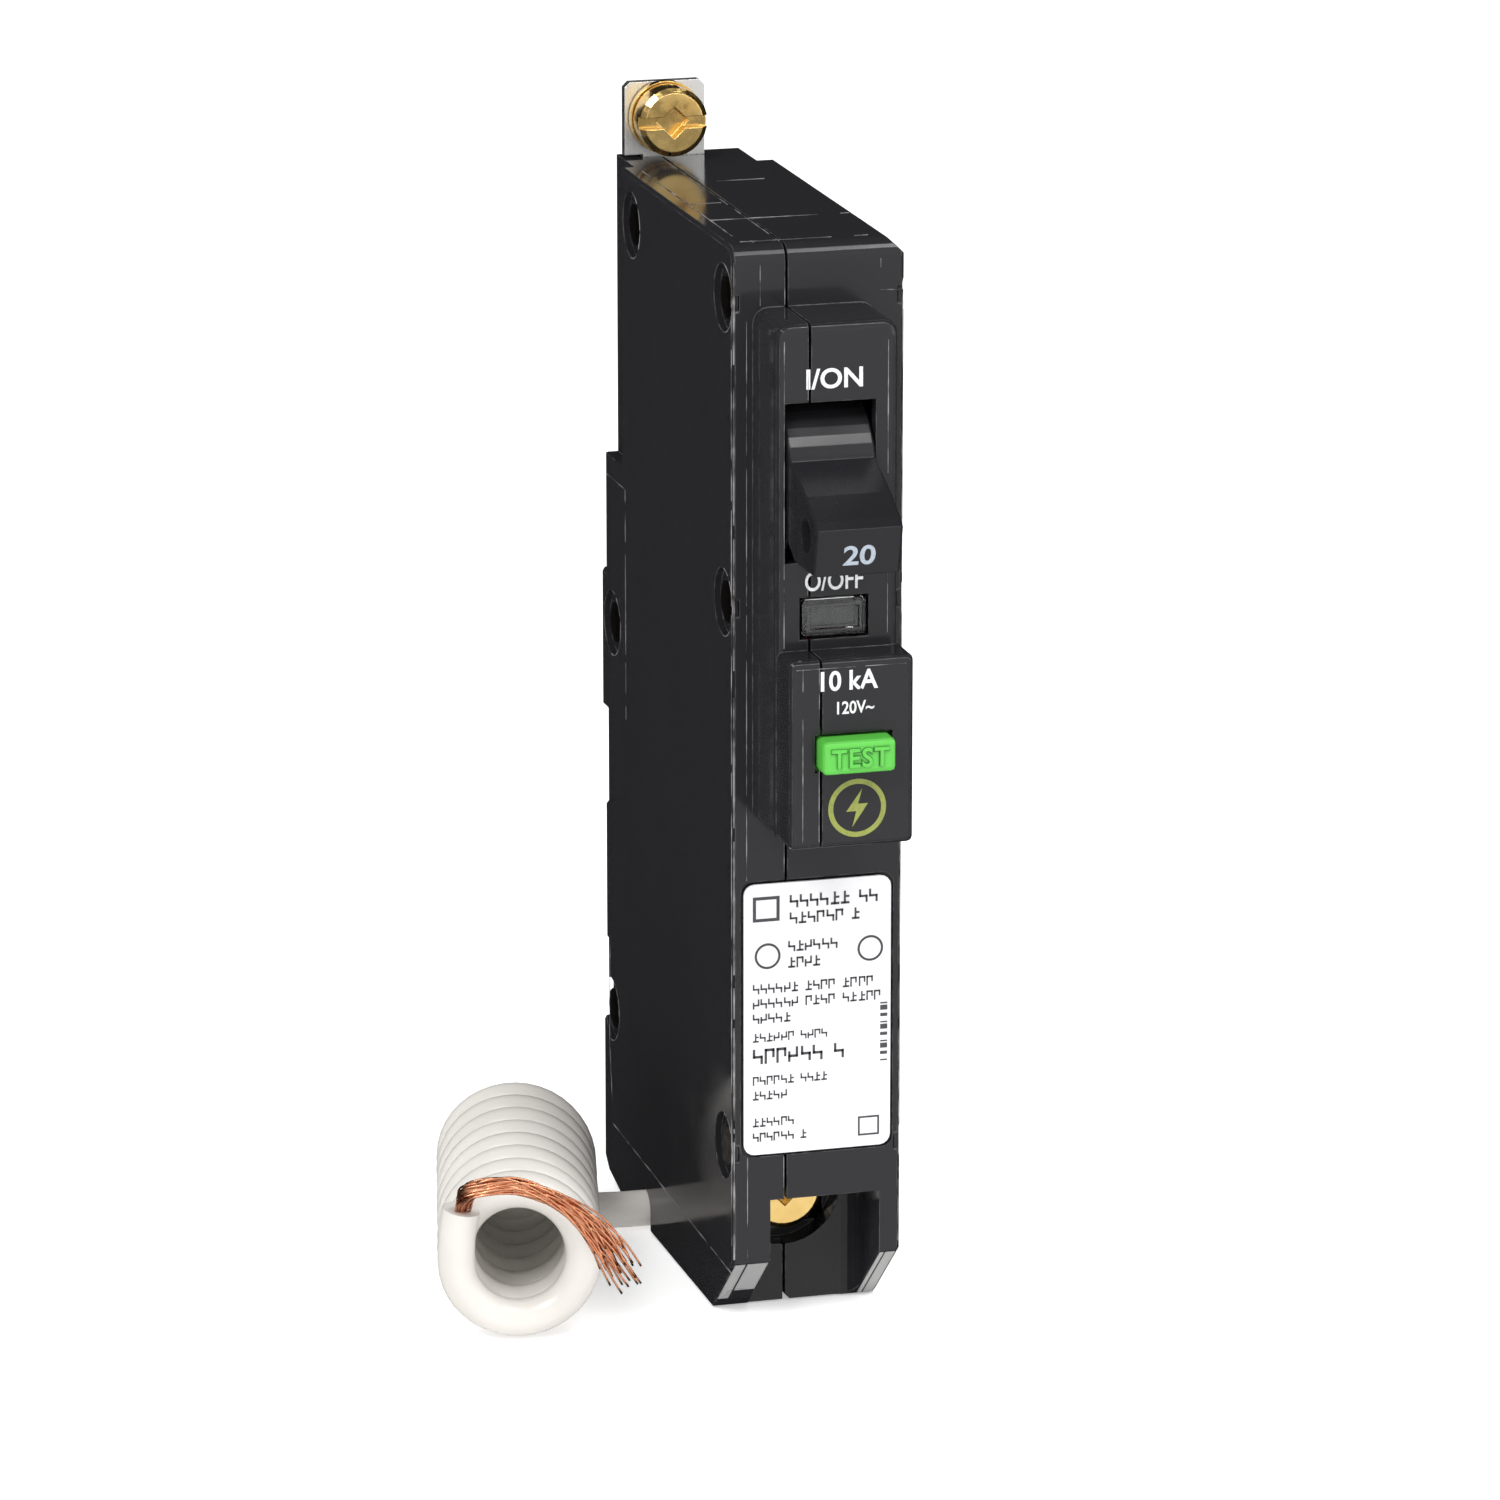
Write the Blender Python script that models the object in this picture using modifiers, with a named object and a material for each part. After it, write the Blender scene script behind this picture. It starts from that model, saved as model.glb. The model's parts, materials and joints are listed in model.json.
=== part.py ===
"""A one-pole bolt-on circuit breaker with a test button and a coiled neutral pigtail.

World frame: +X to the right, -Y towards the person who works the handle, +Z up, origin on the load-end
face that the breaker stands on. Sizes are millimetres, in case coordinates: x from the left side,
d back from the case's front plane and z up from the load end.
"""

from math import atan2, cos, pi, radians, sin

import bmesh
import bpy
from mathutils import Matrix, Vector

MM = 0.001

# Driving dimensions of the case
WIDTH = 19.05
HEIGHT = 121.0
DEPTH = 55.8
WALL = 1.6
SEAM_X = 6.0
GAP = 0.3
TOP_ROUND = 1.8
EDGE_BREAK = 0.35
FOOT_RISE = 7.9
FOOT_RUN = 9.2
CORNER_CUT = 1.6
PIN_SEAT = 0.8
RIM_DEPTH = 0.25
RIM_OUTLINE = ((-1.0, 6.5), (DEPTH - 4.5, 7.9), (DEPTH - 2.9, 17.6), (DEPTH - 3.3, 30.0))

# Steps of the case's back edge, from the load end up: how far each lies in front of the deepest step
BACK_LOW_TOP = 19.5
BACK_MID_STEP, BACK_MID_TOP = 1.9, 46.0
BACK_WAIST_STEP, BACK_WAIST_TOP = 3.0, 57.0
BACK_PAD_STEP, BACK_PAD_TOP = 0.6, 73.2
BACK_TOP_STEP = 2.4
LINE_NECK_START = 87.0
LINE_NECK_STEP = 10.1
LINE_NECK_LEFT, LINE_NECK_RIGHT = 1.5, 3.45

# Handle escutcheon and the block below it
BOSS_LEFT, BOSS_RIGHT = 2.3, 15.8
BOSS_PROUD = 9.0
BOSS_TOP, BOSS_BOTTOM = 114.4, 58.3
BOSS_ROUND, BOSS_CORNER = 0.8, 1.7
BLOCK_LEFT, BLOCK_RIGHT = 2.5, 16.3
BLOCK_PROUD = 13.5
BLOCK_TOP = 79.0
BLOCK_ROUND = 0.7

# Handle
HANDLE_X = 8.25
HANDLE_WIDTH = 9.5
HANDLE_PIVOT_D, HANDLE_PIVOT_Z = -2.0, 97.0
DRUM_RADIUS = 8.5
LEVER_OUTLINE = (
    (0.0, 3.0), (-7.6, 3.0), (-13.7, 0.4), (-17.2, -1.5), (-18.2, -2.3), (-16.9, -7.5), (-10.0, -7.6),
    (-7.8, -6.4), (0.0, -4.0),
)
LEVER_HOLE, LEVER_HOLE_RADIUS = (-14.2, -3.7), 1.8
WINDOW_WIDTH = 10.0
WINDOW_TOP, WINDOW_BOTTOM = 105.9, 88.6
PIN_RADIUS = 1.3
RUNNING_CLEARANCE = 0.15

# Rivets, as (d, z) of each
RIVETS = (
    (DEPTH - 14.3, HEIGHT - 5.6), (3.6, HEIGHT - 6.0), (3.6, 81.7), (DEPTH - 5.2, 67.8), (3.6, 20.5),
    (DEPTH - 3.9, 21.8),
)
RIVET_RECESS_RADIUS, RIVET_RECESS_DEPTH = 3.7, 0.8
RIVET_HEAD_RADIUS, RIVET_SHANK_RADIUS = 2.3, 1.2

# Trip window, test button and label
TRIP_LEFT, TRIP_RIGHT, TRIP_BOTTOM, TRIP_TOP = 4.9, 12.5, 80.2, 84.8
BUTTON_X, BUTTON_Z = 9.6, 68.8
BUTTON_WIDTH, BUTTON_HEIGHT, BUTTON_PROUD = 8.0, 3.6, 2.5
BUTTON_TRAVEL = 1.5
LABEL_LEFT, LABEL_RIGHT, LABEL_BOTTOM, LABEL_TOP = 1.25, 17.8, 20.3, 50.9
LABEL_THICKNESS, LABEL_CORNER = 0.3, 1.2

# Load terminal
TERMINAL_LEFT, TERMINAL_RIGHT, TERMINAL_TOP = 4.3, 16.7, 14.9
POCKET_DEPTH, POCKET_FILLET = 9.4, 2.5
TONGUE_THICKNESS = 1.6
NOTCH_RISE = 0.65
CHANNEL_RADIUS, CHANNEL_TOP = 4.6, 8.6
LUG_X, LUG_WIDTH, LUG_FRONT, LUG_BACK, LUG_BOTTOM, LUG_TOP = 8.5, 9.8, 13.0, 23.0, 9.2, 19.8
LUG_WALL = 1.5
LOAD_SCREW_Z = 12.8
LOAD_BORE_RADIUS = 6.4
LINE_HEAD_RADIUS, LOAD_HEAD_RADIUS, SCREW_SHANK_RADIUS = 3.9, 4.4, 1.9
LOAD_SCREW_TRAVEL = 1.6
SLOT_WIDTH, SQUARE_WIDTH = 1.3, 2.6

# Line terminal
TAB_LEFT, TAB_RIGHT, TAB_TOP = 1.8, 11.0, HEIGHT + 8.5
TAB_THICKNESS, TAB_FRONT = 1.2, DEPTH - 4.8
LINE_SCREW_X, LINE_SCREW_Z = 6.3, HEIGHT + 4.6
LINE_HOLE_RADIUS = 2.5
WASHER_RADIUS, WASHER_THICKNESS = 4.1, 0.9

# Contacts
ARM_PIVOT_D, ARM_PIVOT_Z = 12.5, 97.0
MECH_X = 9.0
ARM_OPEN_DEG = 8.4
CRADLE_PIVOT = (16.0, 85.0)
ARMATURE_FOOT = (37.0, 62.0)
CONTACT_D, CONTACT_Z = 39.0, 104.0
CONTACT_RADIUS, CONTACT_THICKNESS = 2.2, 1.4

# Pigtail
WIRE_RADIUS = 2.05
COIL_MEAN_RADIUS = 7.0
COIL_FRONT = (-22.8, 4.3)
COIL_BACK = (-14.2, 40.6)
LEAD_ROUTE = ((-5.1, 38.5), (-2.6, 38.1), (0.0, 38.0), (2.9, 38.0))
STRAND_RADIUS = 1.3
STRAND_ARCH = ((-7.6, 5.4), (-5.5, 9.0), (-1.1, 9.7), (3.0, 8.5), (6.4, 6.2), (9.0, 3.2), (11.4, -1.2))

parts = None
cutters = None


def start_scene():
    """Removes what is in the scene, and makes the collections of the parts and of the cutters."""
    global parts, cutters
    for obj in list(bpy.data.objects):
        bpy.data.objects.remove(obj, do_unlink=True)
    parts = bpy.data.collections.new("bolt_on_breaker")
    cutters = bpy.data.collections.new("cutters")
    bpy.context.scene.collection.children.link(parts)
    bpy.context.scene.collection.children.link(cutters)


def world(x, d, z):
    """The world point, in metres, of a point given in case coordinates."""
    return Vector((x - WIDTH / 2, d - DEPTH / 2, z)) * MM


def material(name, colour, roughness, metallic=0.0):
    made = bpy.data.materials.get(name) or bpy.data.materials.new(name)
    made.use_nodes = True
    shader = made.node_tree.nodes["Principled BSDF"]
    shader.inputs["Base Color"].default_value = (*colour, 1.0)
    shader.inputs["Roughness"].default_value = roughness
    shader.inputs["Metallic"].default_value = metallic
    return made


def case_black():
    return material("case_black", (0.012, 0.012, 0.013), 0.25)


def copper():
    return material("copper", (0.72, 0.32, 0.17), 0.3, 1.0)


def brass():
    return material("brass", (0.83, 0.6, 0.25), 0.25, 1.0)


def steel():
    return material("steel", (0.6, 0.6, 0.6), 0.35, 1.0)


def dark_steel():
    return material("dark_steel", (0.06, 0.055, 0.05), 0.45, 1.0)


def tin_plate():
    return material("tin_plate", (0.75, 0.75, 0.74), 0.3, 1.0)


def silver():
    return material("silver", (0.85, 0.85, 0.84), 0.25, 1.0)


def fibre():
    return material("fibre", (0.42, 0.16, 0.08), 0.7)


def link(name, mesh, finish=None, cutter=False):
    """Makes the object of a mesh. A cutter is hidden from renders and drawn as wire."""
    obj = bpy.data.objects.new(name, mesh)
    (cutters if cutter else parts).objects.link(obj)
    if cutter:
        obj.hide_render = True
        obj.display_type = "WIRE"
    if finish:
        obj.data.materials.append(finish)
    return obj


def mesh_of(name, bm):
    bmesh.ops.recalc_face_normals(bm, faces=bm.faces)
    mesh = bpy.data.meshes.new(name)
    bm.to_mesh(mesh)
    bm.free()
    return mesh


def block(name, xs, ds, zs, finish=None, cutter=False, edge=0.0, steps=1):
    """A box between two values of x, d and z, with its edges bevelled by edge."""
    low, high = world(xs[0], ds[0], zs[0]), world(xs[1], ds[1], zs[1])
    bm = bmesh.new()
    bmesh.ops.create_cube(bm, size=1.0)
    centre = (low + high) / 2
    bmesh.ops.scale(bm, vec=high - low, verts=bm.verts)
    if edge:
        bmesh.ops.bevel(bm, geom=bm.edges[:], offset=edge * MM, segments=steps, affect="EDGES", profile=0.5)
    obj = link(name, mesh_of(name, bm), finish, cutter)
    obj.location = centre
    return obj


TURNS = {"X": Matrix.Rotation(pi / 2, 4, "Y"), "Y": Matrix.Rotation(-pi / 2, 4, "X"), "Z": Matrix.Identity(4)}


def rod(name, axis, centre, radius, span, finish=None, cutter=False, sides=24):
    """A cylinder along X, Y or Z through a point, between two values of that axis's case coordinate."""
    bm = bmesh.new()
    bmesh.ops.create_cone(
        bm, cap_ends=True, segments=sides, radius1=radius * MM, radius2=radius * MM,
        depth=(span[1] - span[0]) * MM, matrix=TURNS[axis],
    )
    point = list(centre)
    point["XYZ".index(axis)] = (span[0] + span[1]) / 2
    obj = link(name, mesh_of(name, bm), finish, cutter)
    obj.location = world(*point)
    smooth(obj)
    return obj


def smooth(obj, angle=35):
    obj.data.shade_smooth()
    obj.data.set_sharp_from_angle(angle=radians(angle))


def outline_curve(name, outline, holes=()):
    """A flat curve object from (x, y) outlines in millimetres, filled between them."""
    curve = bpy.data.curves.new(name, "CURVE")
    curve.dimensions = "2D"
    curve.fill_mode = "BOTH"
    for loop in (outline, *holes):
        spline = curve.splines.new("POLY")
        spline.points.add(len(loop) - 1)
        for point, (x, y) in zip(spline.points, loop):
            point.co = (x * MM, y * MM, 0, 1)
        spline.use_cyclic_u = True
    return curve


def prism(name, outline, xs, finish=None, cutter=False, holes=(), origin=(0.0, 0.0), lies="side"):
    """A plate with an outline. A side outline is (d, z) and runs along x, a front one is (x, z) and runs
    along d, and a top one is (x, d) and runs along z. The object's origin lies at origin, in the outline."""
    loops = [[(a - origin[0], b - origin[1]) for a, b in loop] for loop in (outline, *holes)]
    curve = outline_curve(name, loops[0], loops[1:])
    curve.extrude = (xs[1] - xs[0]) / 2 * MM
    flat = bpy.data.objects.new(name + "_outline", curve)
    bpy.context.scene.collection.objects.link(flat)
    bpy.context.view_layer.update()
    mesh = bpy.data.meshes.new_from_object(flat.evaluated_get(bpy.context.evaluated_depsgraph_get()))
    bpy.data.objects.remove(flat, do_unlink=True)
    mesh.name = name
    middle = (xs[0] + xs[1]) / 2
    if lies == "side":
        turn, place = Matrix.Rotation(pi / 2, 4, "Z") @ Matrix.Rotation(pi / 2, 4, "X"), (middle, *origin)
    elif lies == "front":
        turn, place = Matrix.Rotation(pi / 2, 4, "X"), (origin[0], middle, origin[1])
    else:
        turn, place = Matrix.Identity(4), (*origin, middle)
    bm = bmesh.new()
    bm.from_mesh(mesh)
    bmesh.ops.remove_doubles(bm, verts=bm.verts, dist=1e-6)
    bmesh.ops.transform(bm, matrix=turn, verts=bm.verts)
    bmesh.ops.recalc_face_normals(bm, faces=bm.faces)
    bm.to_mesh(mesh)
    bm.free()
    mesh.materials.clear()
    obj = link(name, mesh, finish, cutter)
    obj.location = world(*place)
    return obj


def soften(obj, edge, side, steps=1):
    """Bevels the rim of a prism's lowest or highest x."""
    bm = bmesh.new()
    bm.from_mesh(obj.data)
    limit = (min if side == "low" else max)(v.co.x for v in bm.verts)
    rim = [e for e in bm.edges if all(abs(v.co.x - limit) < 1e-6 for v in e.verts)]
    edges = [e for e in rim if e.calc_face_angle() > 1.0]
    bmesh.ops.bevel(bm, geom=edges, offset=edge * MM, segments=steps, affect="EDGES", profile=0.5)
    bm.to_mesh(obj.data)
    bm.free()


def combine(obj, others, operation, solver="EXACT"):
    """Adds a Boolean modifier for each of the others."""
    for other in others:
        made = obj.modifiers.new(operation.lower() + "_" + other.name, "BOOLEAN")
        made.operation = operation
        made.object = other
        made.solver = solver


def cut(obj, *others):
    combine(obj, others, "DIFFERENCE")


def join(obj, *others):
    combine(obj, others, "UNION")


def turned(name, profile, axis, centre, finish, steps=32, cutter=False):
    """A turned piece. The profile is (radius, height) from the top of its axis down its outer side."""
    mesh = bpy.data.meshes.new(name)
    lines = [(i, i + 1) for i in range(len(profile) - 1)]
    mesh.from_pydata([(r * MM, 0, h * MM) for r, h in profile], lines, [])
    mesh.transform(TURNS[axis])
    obj = link(name, mesh, finish, cutter)
    obj.location = world(*centre)
    spin = obj.modifiers.new("turn", "SCREW")
    spin.axis = axis
    spin.steps = spin.render_steps = steps
    spin.use_merge_vertices = True
    spin.merge_threshold = 1e-6
    spin.use_smooth_shade = True
    return obj


def wire(name, points, radius, finish, closed=False, roundness=2):
    """A round wire through case points, with flat ends."""
    curve = bpy.data.curves.new(name, "CURVE")
    curve.dimensions = "3D"
    spline = curve.splines.new("POLY")
    spline.points.add(len(points) - 1)
    for point, place in zip(spline.points, points):
        point.co = (*world(*place), 1)
    spline.use_cyclic_u = closed
    curve.bevel_depth = radius * MM
    curve.bevel_resolution = roundness
    curve.use_fill_caps = not closed
    obj = bpy.data.objects.new(name, curve)
    parts.objects.link(obj)
    obj.data.materials.append(finish)
    return obj


def smooth_path(points, per_span=5):
    """Points on a Catmull-Rom curve through the given ones."""
    ends = [2 * Vector(points[0]) - Vector(points[1])]
    ends += [Vector(p) for p in points] + [2 * Vector(points[-1]) - Vector(points[-2])]
    path = []
    for a, b, c, e in zip(ends, ends[1:], ends[2:], ends[3:]):
        for step in range(per_span):
            t = step / per_span
            path.append(0.5 * (2 * b + (c - a) * t + (2 * a - 5 * b + 4 * c - e) * t * t
                               + (3 * b - a - 3 * c + e) * t ** 3))
    path.append(Vector(points[-1]))
    return [tuple(p) for p in path]


def helix(axis, centre, radius, span, turns, per_turn=10):
    """Case points along a coil spring on an X, Y or Z axis."""
    first = "XYZ".index(axis)
    points = []
    for step in range(turns * per_turn + 1):
        angle = 2 * pi * step / per_turn
        place = list(centre)
        place[first] = span[0] + (span[1] - span[0]) * step / (turns * per_turn)
        place[(first + 1) % 3] += radius * cos(angle)
        place[(first + 2) % 3] += radius * sin(angle)
        points.append(tuple(place))
    return points


def arc(centre, radius, start_deg, end_deg, steps=6):
    """Points of an arc in an outline's plane, angles measured from its first axis."""
    angles = [radians(start_deg + (end_deg - start_deg) * i / steps) for i in range(steps + 1)]
    return [(centre[0] + radius * cos(a), centre[1] + radius * sin(a)) for a in angles]


def rounded(low, high, radius, steps=4):
    """The outline of a rectangle with round corners."""
    (x0, y0), (x1, y1) = low, high
    return (
        arc((x1 - radius, y0 + radius), radius, -90, 0, steps)
        + arc((x1 - radius, y1 - radius), radius, 0, 90, steps)
        + arc((x0 + radius, y1 - radius), radius, 90, 180, steps)
        + arc((x0 + radius, y0 + radius), radius, 180, 270, steps)
    )


def case_outline():
    """The case's side outline as (d, z)."""
    low, mid, waist = DEPTH, DEPTH - BACK_MID_STEP, DEPTH - BACK_WAIST_STEP
    pad, top = DEPTH - BACK_PAD_STEP, DEPTH - BACK_TOP_STEP
    return [
        (FOOT_RUN, 0.0), (low - 8.9, 0.0), (low - 1.7, 1.6), (low, 3.0), (low, BACK_LOW_TOP),
        (mid, BACK_LOW_TOP + 1.5), (mid, BACK_MID_TOP), (waist, BACK_MID_TOP + 0.6), (waist, BACK_WAIST_TOP),
        (pad, BACK_WAIST_TOP), (pad, BACK_PAD_TOP), (top, BACK_PAD_TOP), (top, HEIGHT),
    ] + arc((TOP_ROUND, HEIGHT - TOP_ROUND), TOP_ROUND, 90, 180) + [(0.0, FOOT_RISE)]


def cavity_outline():
    """The hollow behind the front wall, as (d, z): it keeps clear of the load terminal and the pigtail."""
    back = DEPTH - WALL
    sill = LUG_TOP + 2.6
    rear = LUG_BACK + 2.2
    return [
        (WALL, sill), (rear, sill), (rear, 8.0), (back - BACK_MID_STEP, 8.0),
        (back - BACK_MID_STEP, BACK_MID_TOP - WALL), (back - BACK_WAIST_STEP, BACK_MID_TOP - WALL),
        (back - BACK_WAIST_STEP, BACK_WAIST_TOP + WALL), (back - BACK_PAD_STEP, BACK_WAIST_TOP + WALL),
        (back - BACK_PAD_STEP, BACK_PAD_TOP - WALL), (back - BACK_TOP_STEP, BACK_PAD_TOP - WALL),
        (back - BACK_TOP_STEP, LINE_NECK_START - WALL), (back - LINE_NECK_STEP, LINE_NECK_START - WALL),
        (back - LINE_NECK_STEP, HEIGHT - WALL), (WALL, HEIGHT - WALL),
    ]


def case_cutters():
    """Every hollow, window, recess and hole that the two halves of the case share."""
    neck = DEPTH - LINE_NECK_STEP
    top_back = DEPTH - BACK_TOP_STEP
    far = WIDTH + 1.0
    strap_back = TAB_FRONT + TAB_THICKNESS + GAP
    window = (HANDLE_X - WINDOW_WIDTH / 2, HANDLE_X + WINDOW_WIDTH / 2)
    button_hole = (BUTTON_X - BUTTON_WIDTH / 2 - GAP, BUTTON_X + BUTTON_WIDTH / 2 + GAP)
    gland = (LEAD_ROUTE[-1][1] - 3.0, LEAD_ROUTE[-1][1] + 3.0)
    label_low, label_high = (LABEL_LEFT - GAP, LABEL_BOTTOM - GAP), (LABEL_RIGHT + GAP, LABEL_TOP + GAP)
    notch = NOTCH_RISE + 0.1
    block_hollow = (BLOCK_LEFT + 1.4, BLOCK_RIGHT - 1.4)
    made = [
        prism("cut_cavity", cavity_outline(), (WALL, WIDTH - WALL), cutter=True),
        block("cut_line_channel", (TAB_LEFT + 1.8, TAB_RIGHT + 2.0), (neck - WALL - 1.0, strap_back),
              (LINE_NECK_START + 14.0, HEIGHT - WALL), cutter=True),
        block("cut_line_slot", (TAB_LEFT + 1.7, TAB_RIGHT + GAP), (TAB_FRONT - GAP, strap_back),
              (HEIGHT - WALL - 1.0, HEIGHT + 1.0), cutter=True),
        block("cut_boss_hollow", (BOSS_LEFT + 1.0, BOSS_RIGHT - 1.1), (WALL - BOSS_PROUD, WALL + 1.0),
              (BOSS_BOTTOM + WALL, BOSS_TOP - WALL), cutter=True),
        block("cut_block_hollow", block_hollow, (WALL - BLOCK_PROUD, 1.0 - BOSS_PROUD + WALL),
              (BOSS_BOTTOM + WALL, BLOCK_TOP - WALL), cutter=True),
        block("cut_handle_window", window, (-BOSS_PROUD - 1.0, 0.0), (WINDOW_BOTTOM, WINDOW_TOP),
              cutter=True),
        block("cut_trip_window", (TRIP_LEFT, TRIP_RIGHT), (-BOSS_PROUD - 1.0, 0.0), (TRIP_BOTTOM, TRIP_TOP),
              cutter=True),
        block("cut_button_hole", button_hole, (-BLOCK_PROUD - 1.0, -BLOCK_PROUD + WALL + 1.0),
              (BUTTON_Z - BUTTON_HEIGHT / 2 - GAP, BUTTON_Z + BUTTON_HEIGHT / 2 + GAP), cutter=True),
        prism("cut_label_recess", rounded(label_low, label_high, LABEL_CORNER), (-1.0, LABEL_THICKNESS + 0.1),
              cutter=True, lies="front"),
        prism("cut_pocket", pocket_outline(), (-1.0, TERMINAL_TOP), cutter=True, lies="top"),
        rod("cut_wire_channel", "Z", (LUG_X, (LUG_FRONT + LUG_BACK) / 2, 0), CHANNEL_RADIUS,
            (-1.0, CHANNEL_TOP), cutter=True),
        block("cut_lug_chamber", (LUG_X - LUG_WIDTH / 2 - GAP, LUG_X + LUG_WIDTH / 2 + GAP),
              (LUG_FRONT - 1.2, LUG_BACK + GAP), (CHANNEL_TOP - 0.5, LUG_TOP + GAP), cutter=True),
        rod("cut_load_screw_bore", "Y", (LUG_X, 0, LOAD_SCREW_Z), LOAD_BORE_RADIUS,
            (POCKET_DEPTH - 1.2, LUG_FRONT - 0.8), cutter=True, sides=32),
        prism("cut_notch", [(LUG_X, NOTCH_RISE), (LUG_X - notch, -0.1), (LUG_X + notch, -0.1)],
              (POCKET_DEPTH - 0.6, POCKET_DEPTH + TONGUE_THICKNESS + 2.0), cutter=True, lies="front"),
        block("cut_busbar_slot", (MECH_X - 2.2, MECH_X + 2.2), (LUG_BACK - 2.6, LUG_BACK + GAP),
              (LUG_TOP - 0.5, LUG_TOP + 4.0), cutter=True),
        block("cut_gland_pocket", (WALL, 7.5), gland, (-1.0, 5.4), cutter=True),
        prism("cut_lead_notch", lead_notch_outline(), (-1.0, WALL + 1.0), cutter=True),
        prism("cut_neck_left", neck_rabbet(neck, top_back), (-1.0, LINE_NECK_LEFT), cutter=True),
        prism("cut_neck_right", neck_rabbet(neck, top_back), (WIDTH - LINE_NECK_RIGHT, far), cutter=True),
        prism("cut_top_right", corner_outline(far), (-1.0, DEPTH + 1.0), cutter=True, lies="front"),
        rod("cut_handle_pin", "X", (0, HANDLE_PIVOT_D, HANDLE_PIVOT_Z), PIN_RADIUS + RUNNING_CLEARANCE,
            (BOSS_LEFT + 0.4, BOSS_RIGHT - 0.4), cutter=True, sides=16),
    ]
    for name, (d, z) in (("arm", (ARM_PIVOT_D, ARM_PIVOT_Z)), ("cradle", CRADLE_PIVOT)):
        made.append(rod(f"cut_{name}_pin_seats", "X", (0, d, z), PIN_RADIUS + RUNNING_CLEARANCE,
                        (WALL - PIN_SEAT, WIDTH - WALL + PIN_SEAT), cutter=True, sides=16))
    for number, (d, z) in enumerate(RIVETS, 1):
        made += [
            rod(f"cut_rivet_hole_{number}", "X", (0, d, z), RIVET_SHANK_RADIUS + GAP, (-1.0, far),
                cutter=True, sides=16),
            rod(f"cut_rivet_left_{number}", "X", (0, d, z), RIVET_RECESS_RADIUS, (-1.0, RIVET_RECESS_DEPTH),
                cutter=True),
            rod(f"cut_rivet_right_{number}", "X", (0, d, z), RIVET_RECESS_RADIUS,
                (WIDTH - RIVET_RECESS_DEPTH, far), cutter=True),
        ]
    return made


def corner_outline(far):
    """The outline, as (x, z), of what the upper right corner loses."""
    return [(WIDTH - CORNER_CUT, HEIGHT + 1.0), (WIDTH - CORNER_CUT, HEIGHT), (WIDTH, HEIGHT - CORNER_CUT),
            (far, HEIGHT - CORNER_CUT), (far, HEIGHT + 1.0)]


def neck_rabbet(neck, top_back):
    """The outline of the step that narrows the line end, round at its lower front corner."""
    corner = 1.5
    return arc((neck + corner, LINE_NECK_START + corner), corner, 180, 270, 4) + [
        (top_back + 1.0, LINE_NECK_START), (top_back + 1.0, HEIGHT + 1.0), (neck, HEIGHT + 1.0)]


def pocket_outline():
    """The load terminal's pocket from above, as (x, d), with a fillet in its right back corner."""
    corner = (TERMINAL_RIGHT - POCKET_FILLET, POCKET_DEPTH - POCKET_FILLET)
    return [(TERMINAL_LEFT, -1.0), (TERMINAL_RIGHT, -1.0)] + arc(corner, POCKET_FILLET, 0, 90, 5) + [
        (TERMINAL_LEFT, POCKET_DEPTH)]


def lead_notch_outline():
    """The round-topped notch that the pigtail's lead leaves by, as (d, z)."""
    d, half = LEAD_ROUTE[-1][1], WIRE_RADIUS + GAP
    return arc((d, WIRE_RADIUS + 0.1), half, 0, 180, 10) + [(d - half, -1.0), (d + half, -1.0)]


def case_half(name, xs, outer_side, shared, added=(), removed=()):
    """One moulded half: slab, escutcheon and block between two values of x, less what is cut from both, and
    with what only this half gains and loses."""
    half = prism(name, case_outline(), xs, case_black())
    soften(half, EDGE_BREAK, outer_side)
    low, high = xs
    boss = block(name + "_boss", (max(low, BOSS_LEFT), min(high, BOSS_RIGHT)), (-BOSS_PROUD, 0.8),
                 (BOSS_BOTTOM, BOSS_TOP), cutter=True)
    lower = block(name + "_block", (max(low, BLOCK_LEFT), min(high, BLOCK_RIGHT)),
                  (-BLOCK_PROUD, 0.8 - BOSS_PROUD), (BOSS_BOTTOM, BLOCK_TOP), cutter=True)
    round_front(boss, BOSS_ROUND, outer_side, BOSS_CORNER)
    round_front(lower, BLOCK_ROUND, outer_side, BLOCK_ROUND)
    # The exact solver loses the shell part way through this many cuts, so the manifold one makes them.
    combine(half, (boss, lower, *added), "UNION", "MANIFOLD")
    cuts = [*removed, *(cutter for cutter in shared if reaches(cutter, xs))]
    combine(half, cuts, "DIFFERENCE", "MANIFOLD")
    return half


def reaches(cutter, xs):
    """Whether a cutter reaches into a range of x."""
    places = [(cutter.matrix_basis @ v.co).x for v in cutter.data.vertices]
    return min(places) < world(xs[1], 0, 0).x and max(places) > world(xs[0], 0, 0).x


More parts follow.
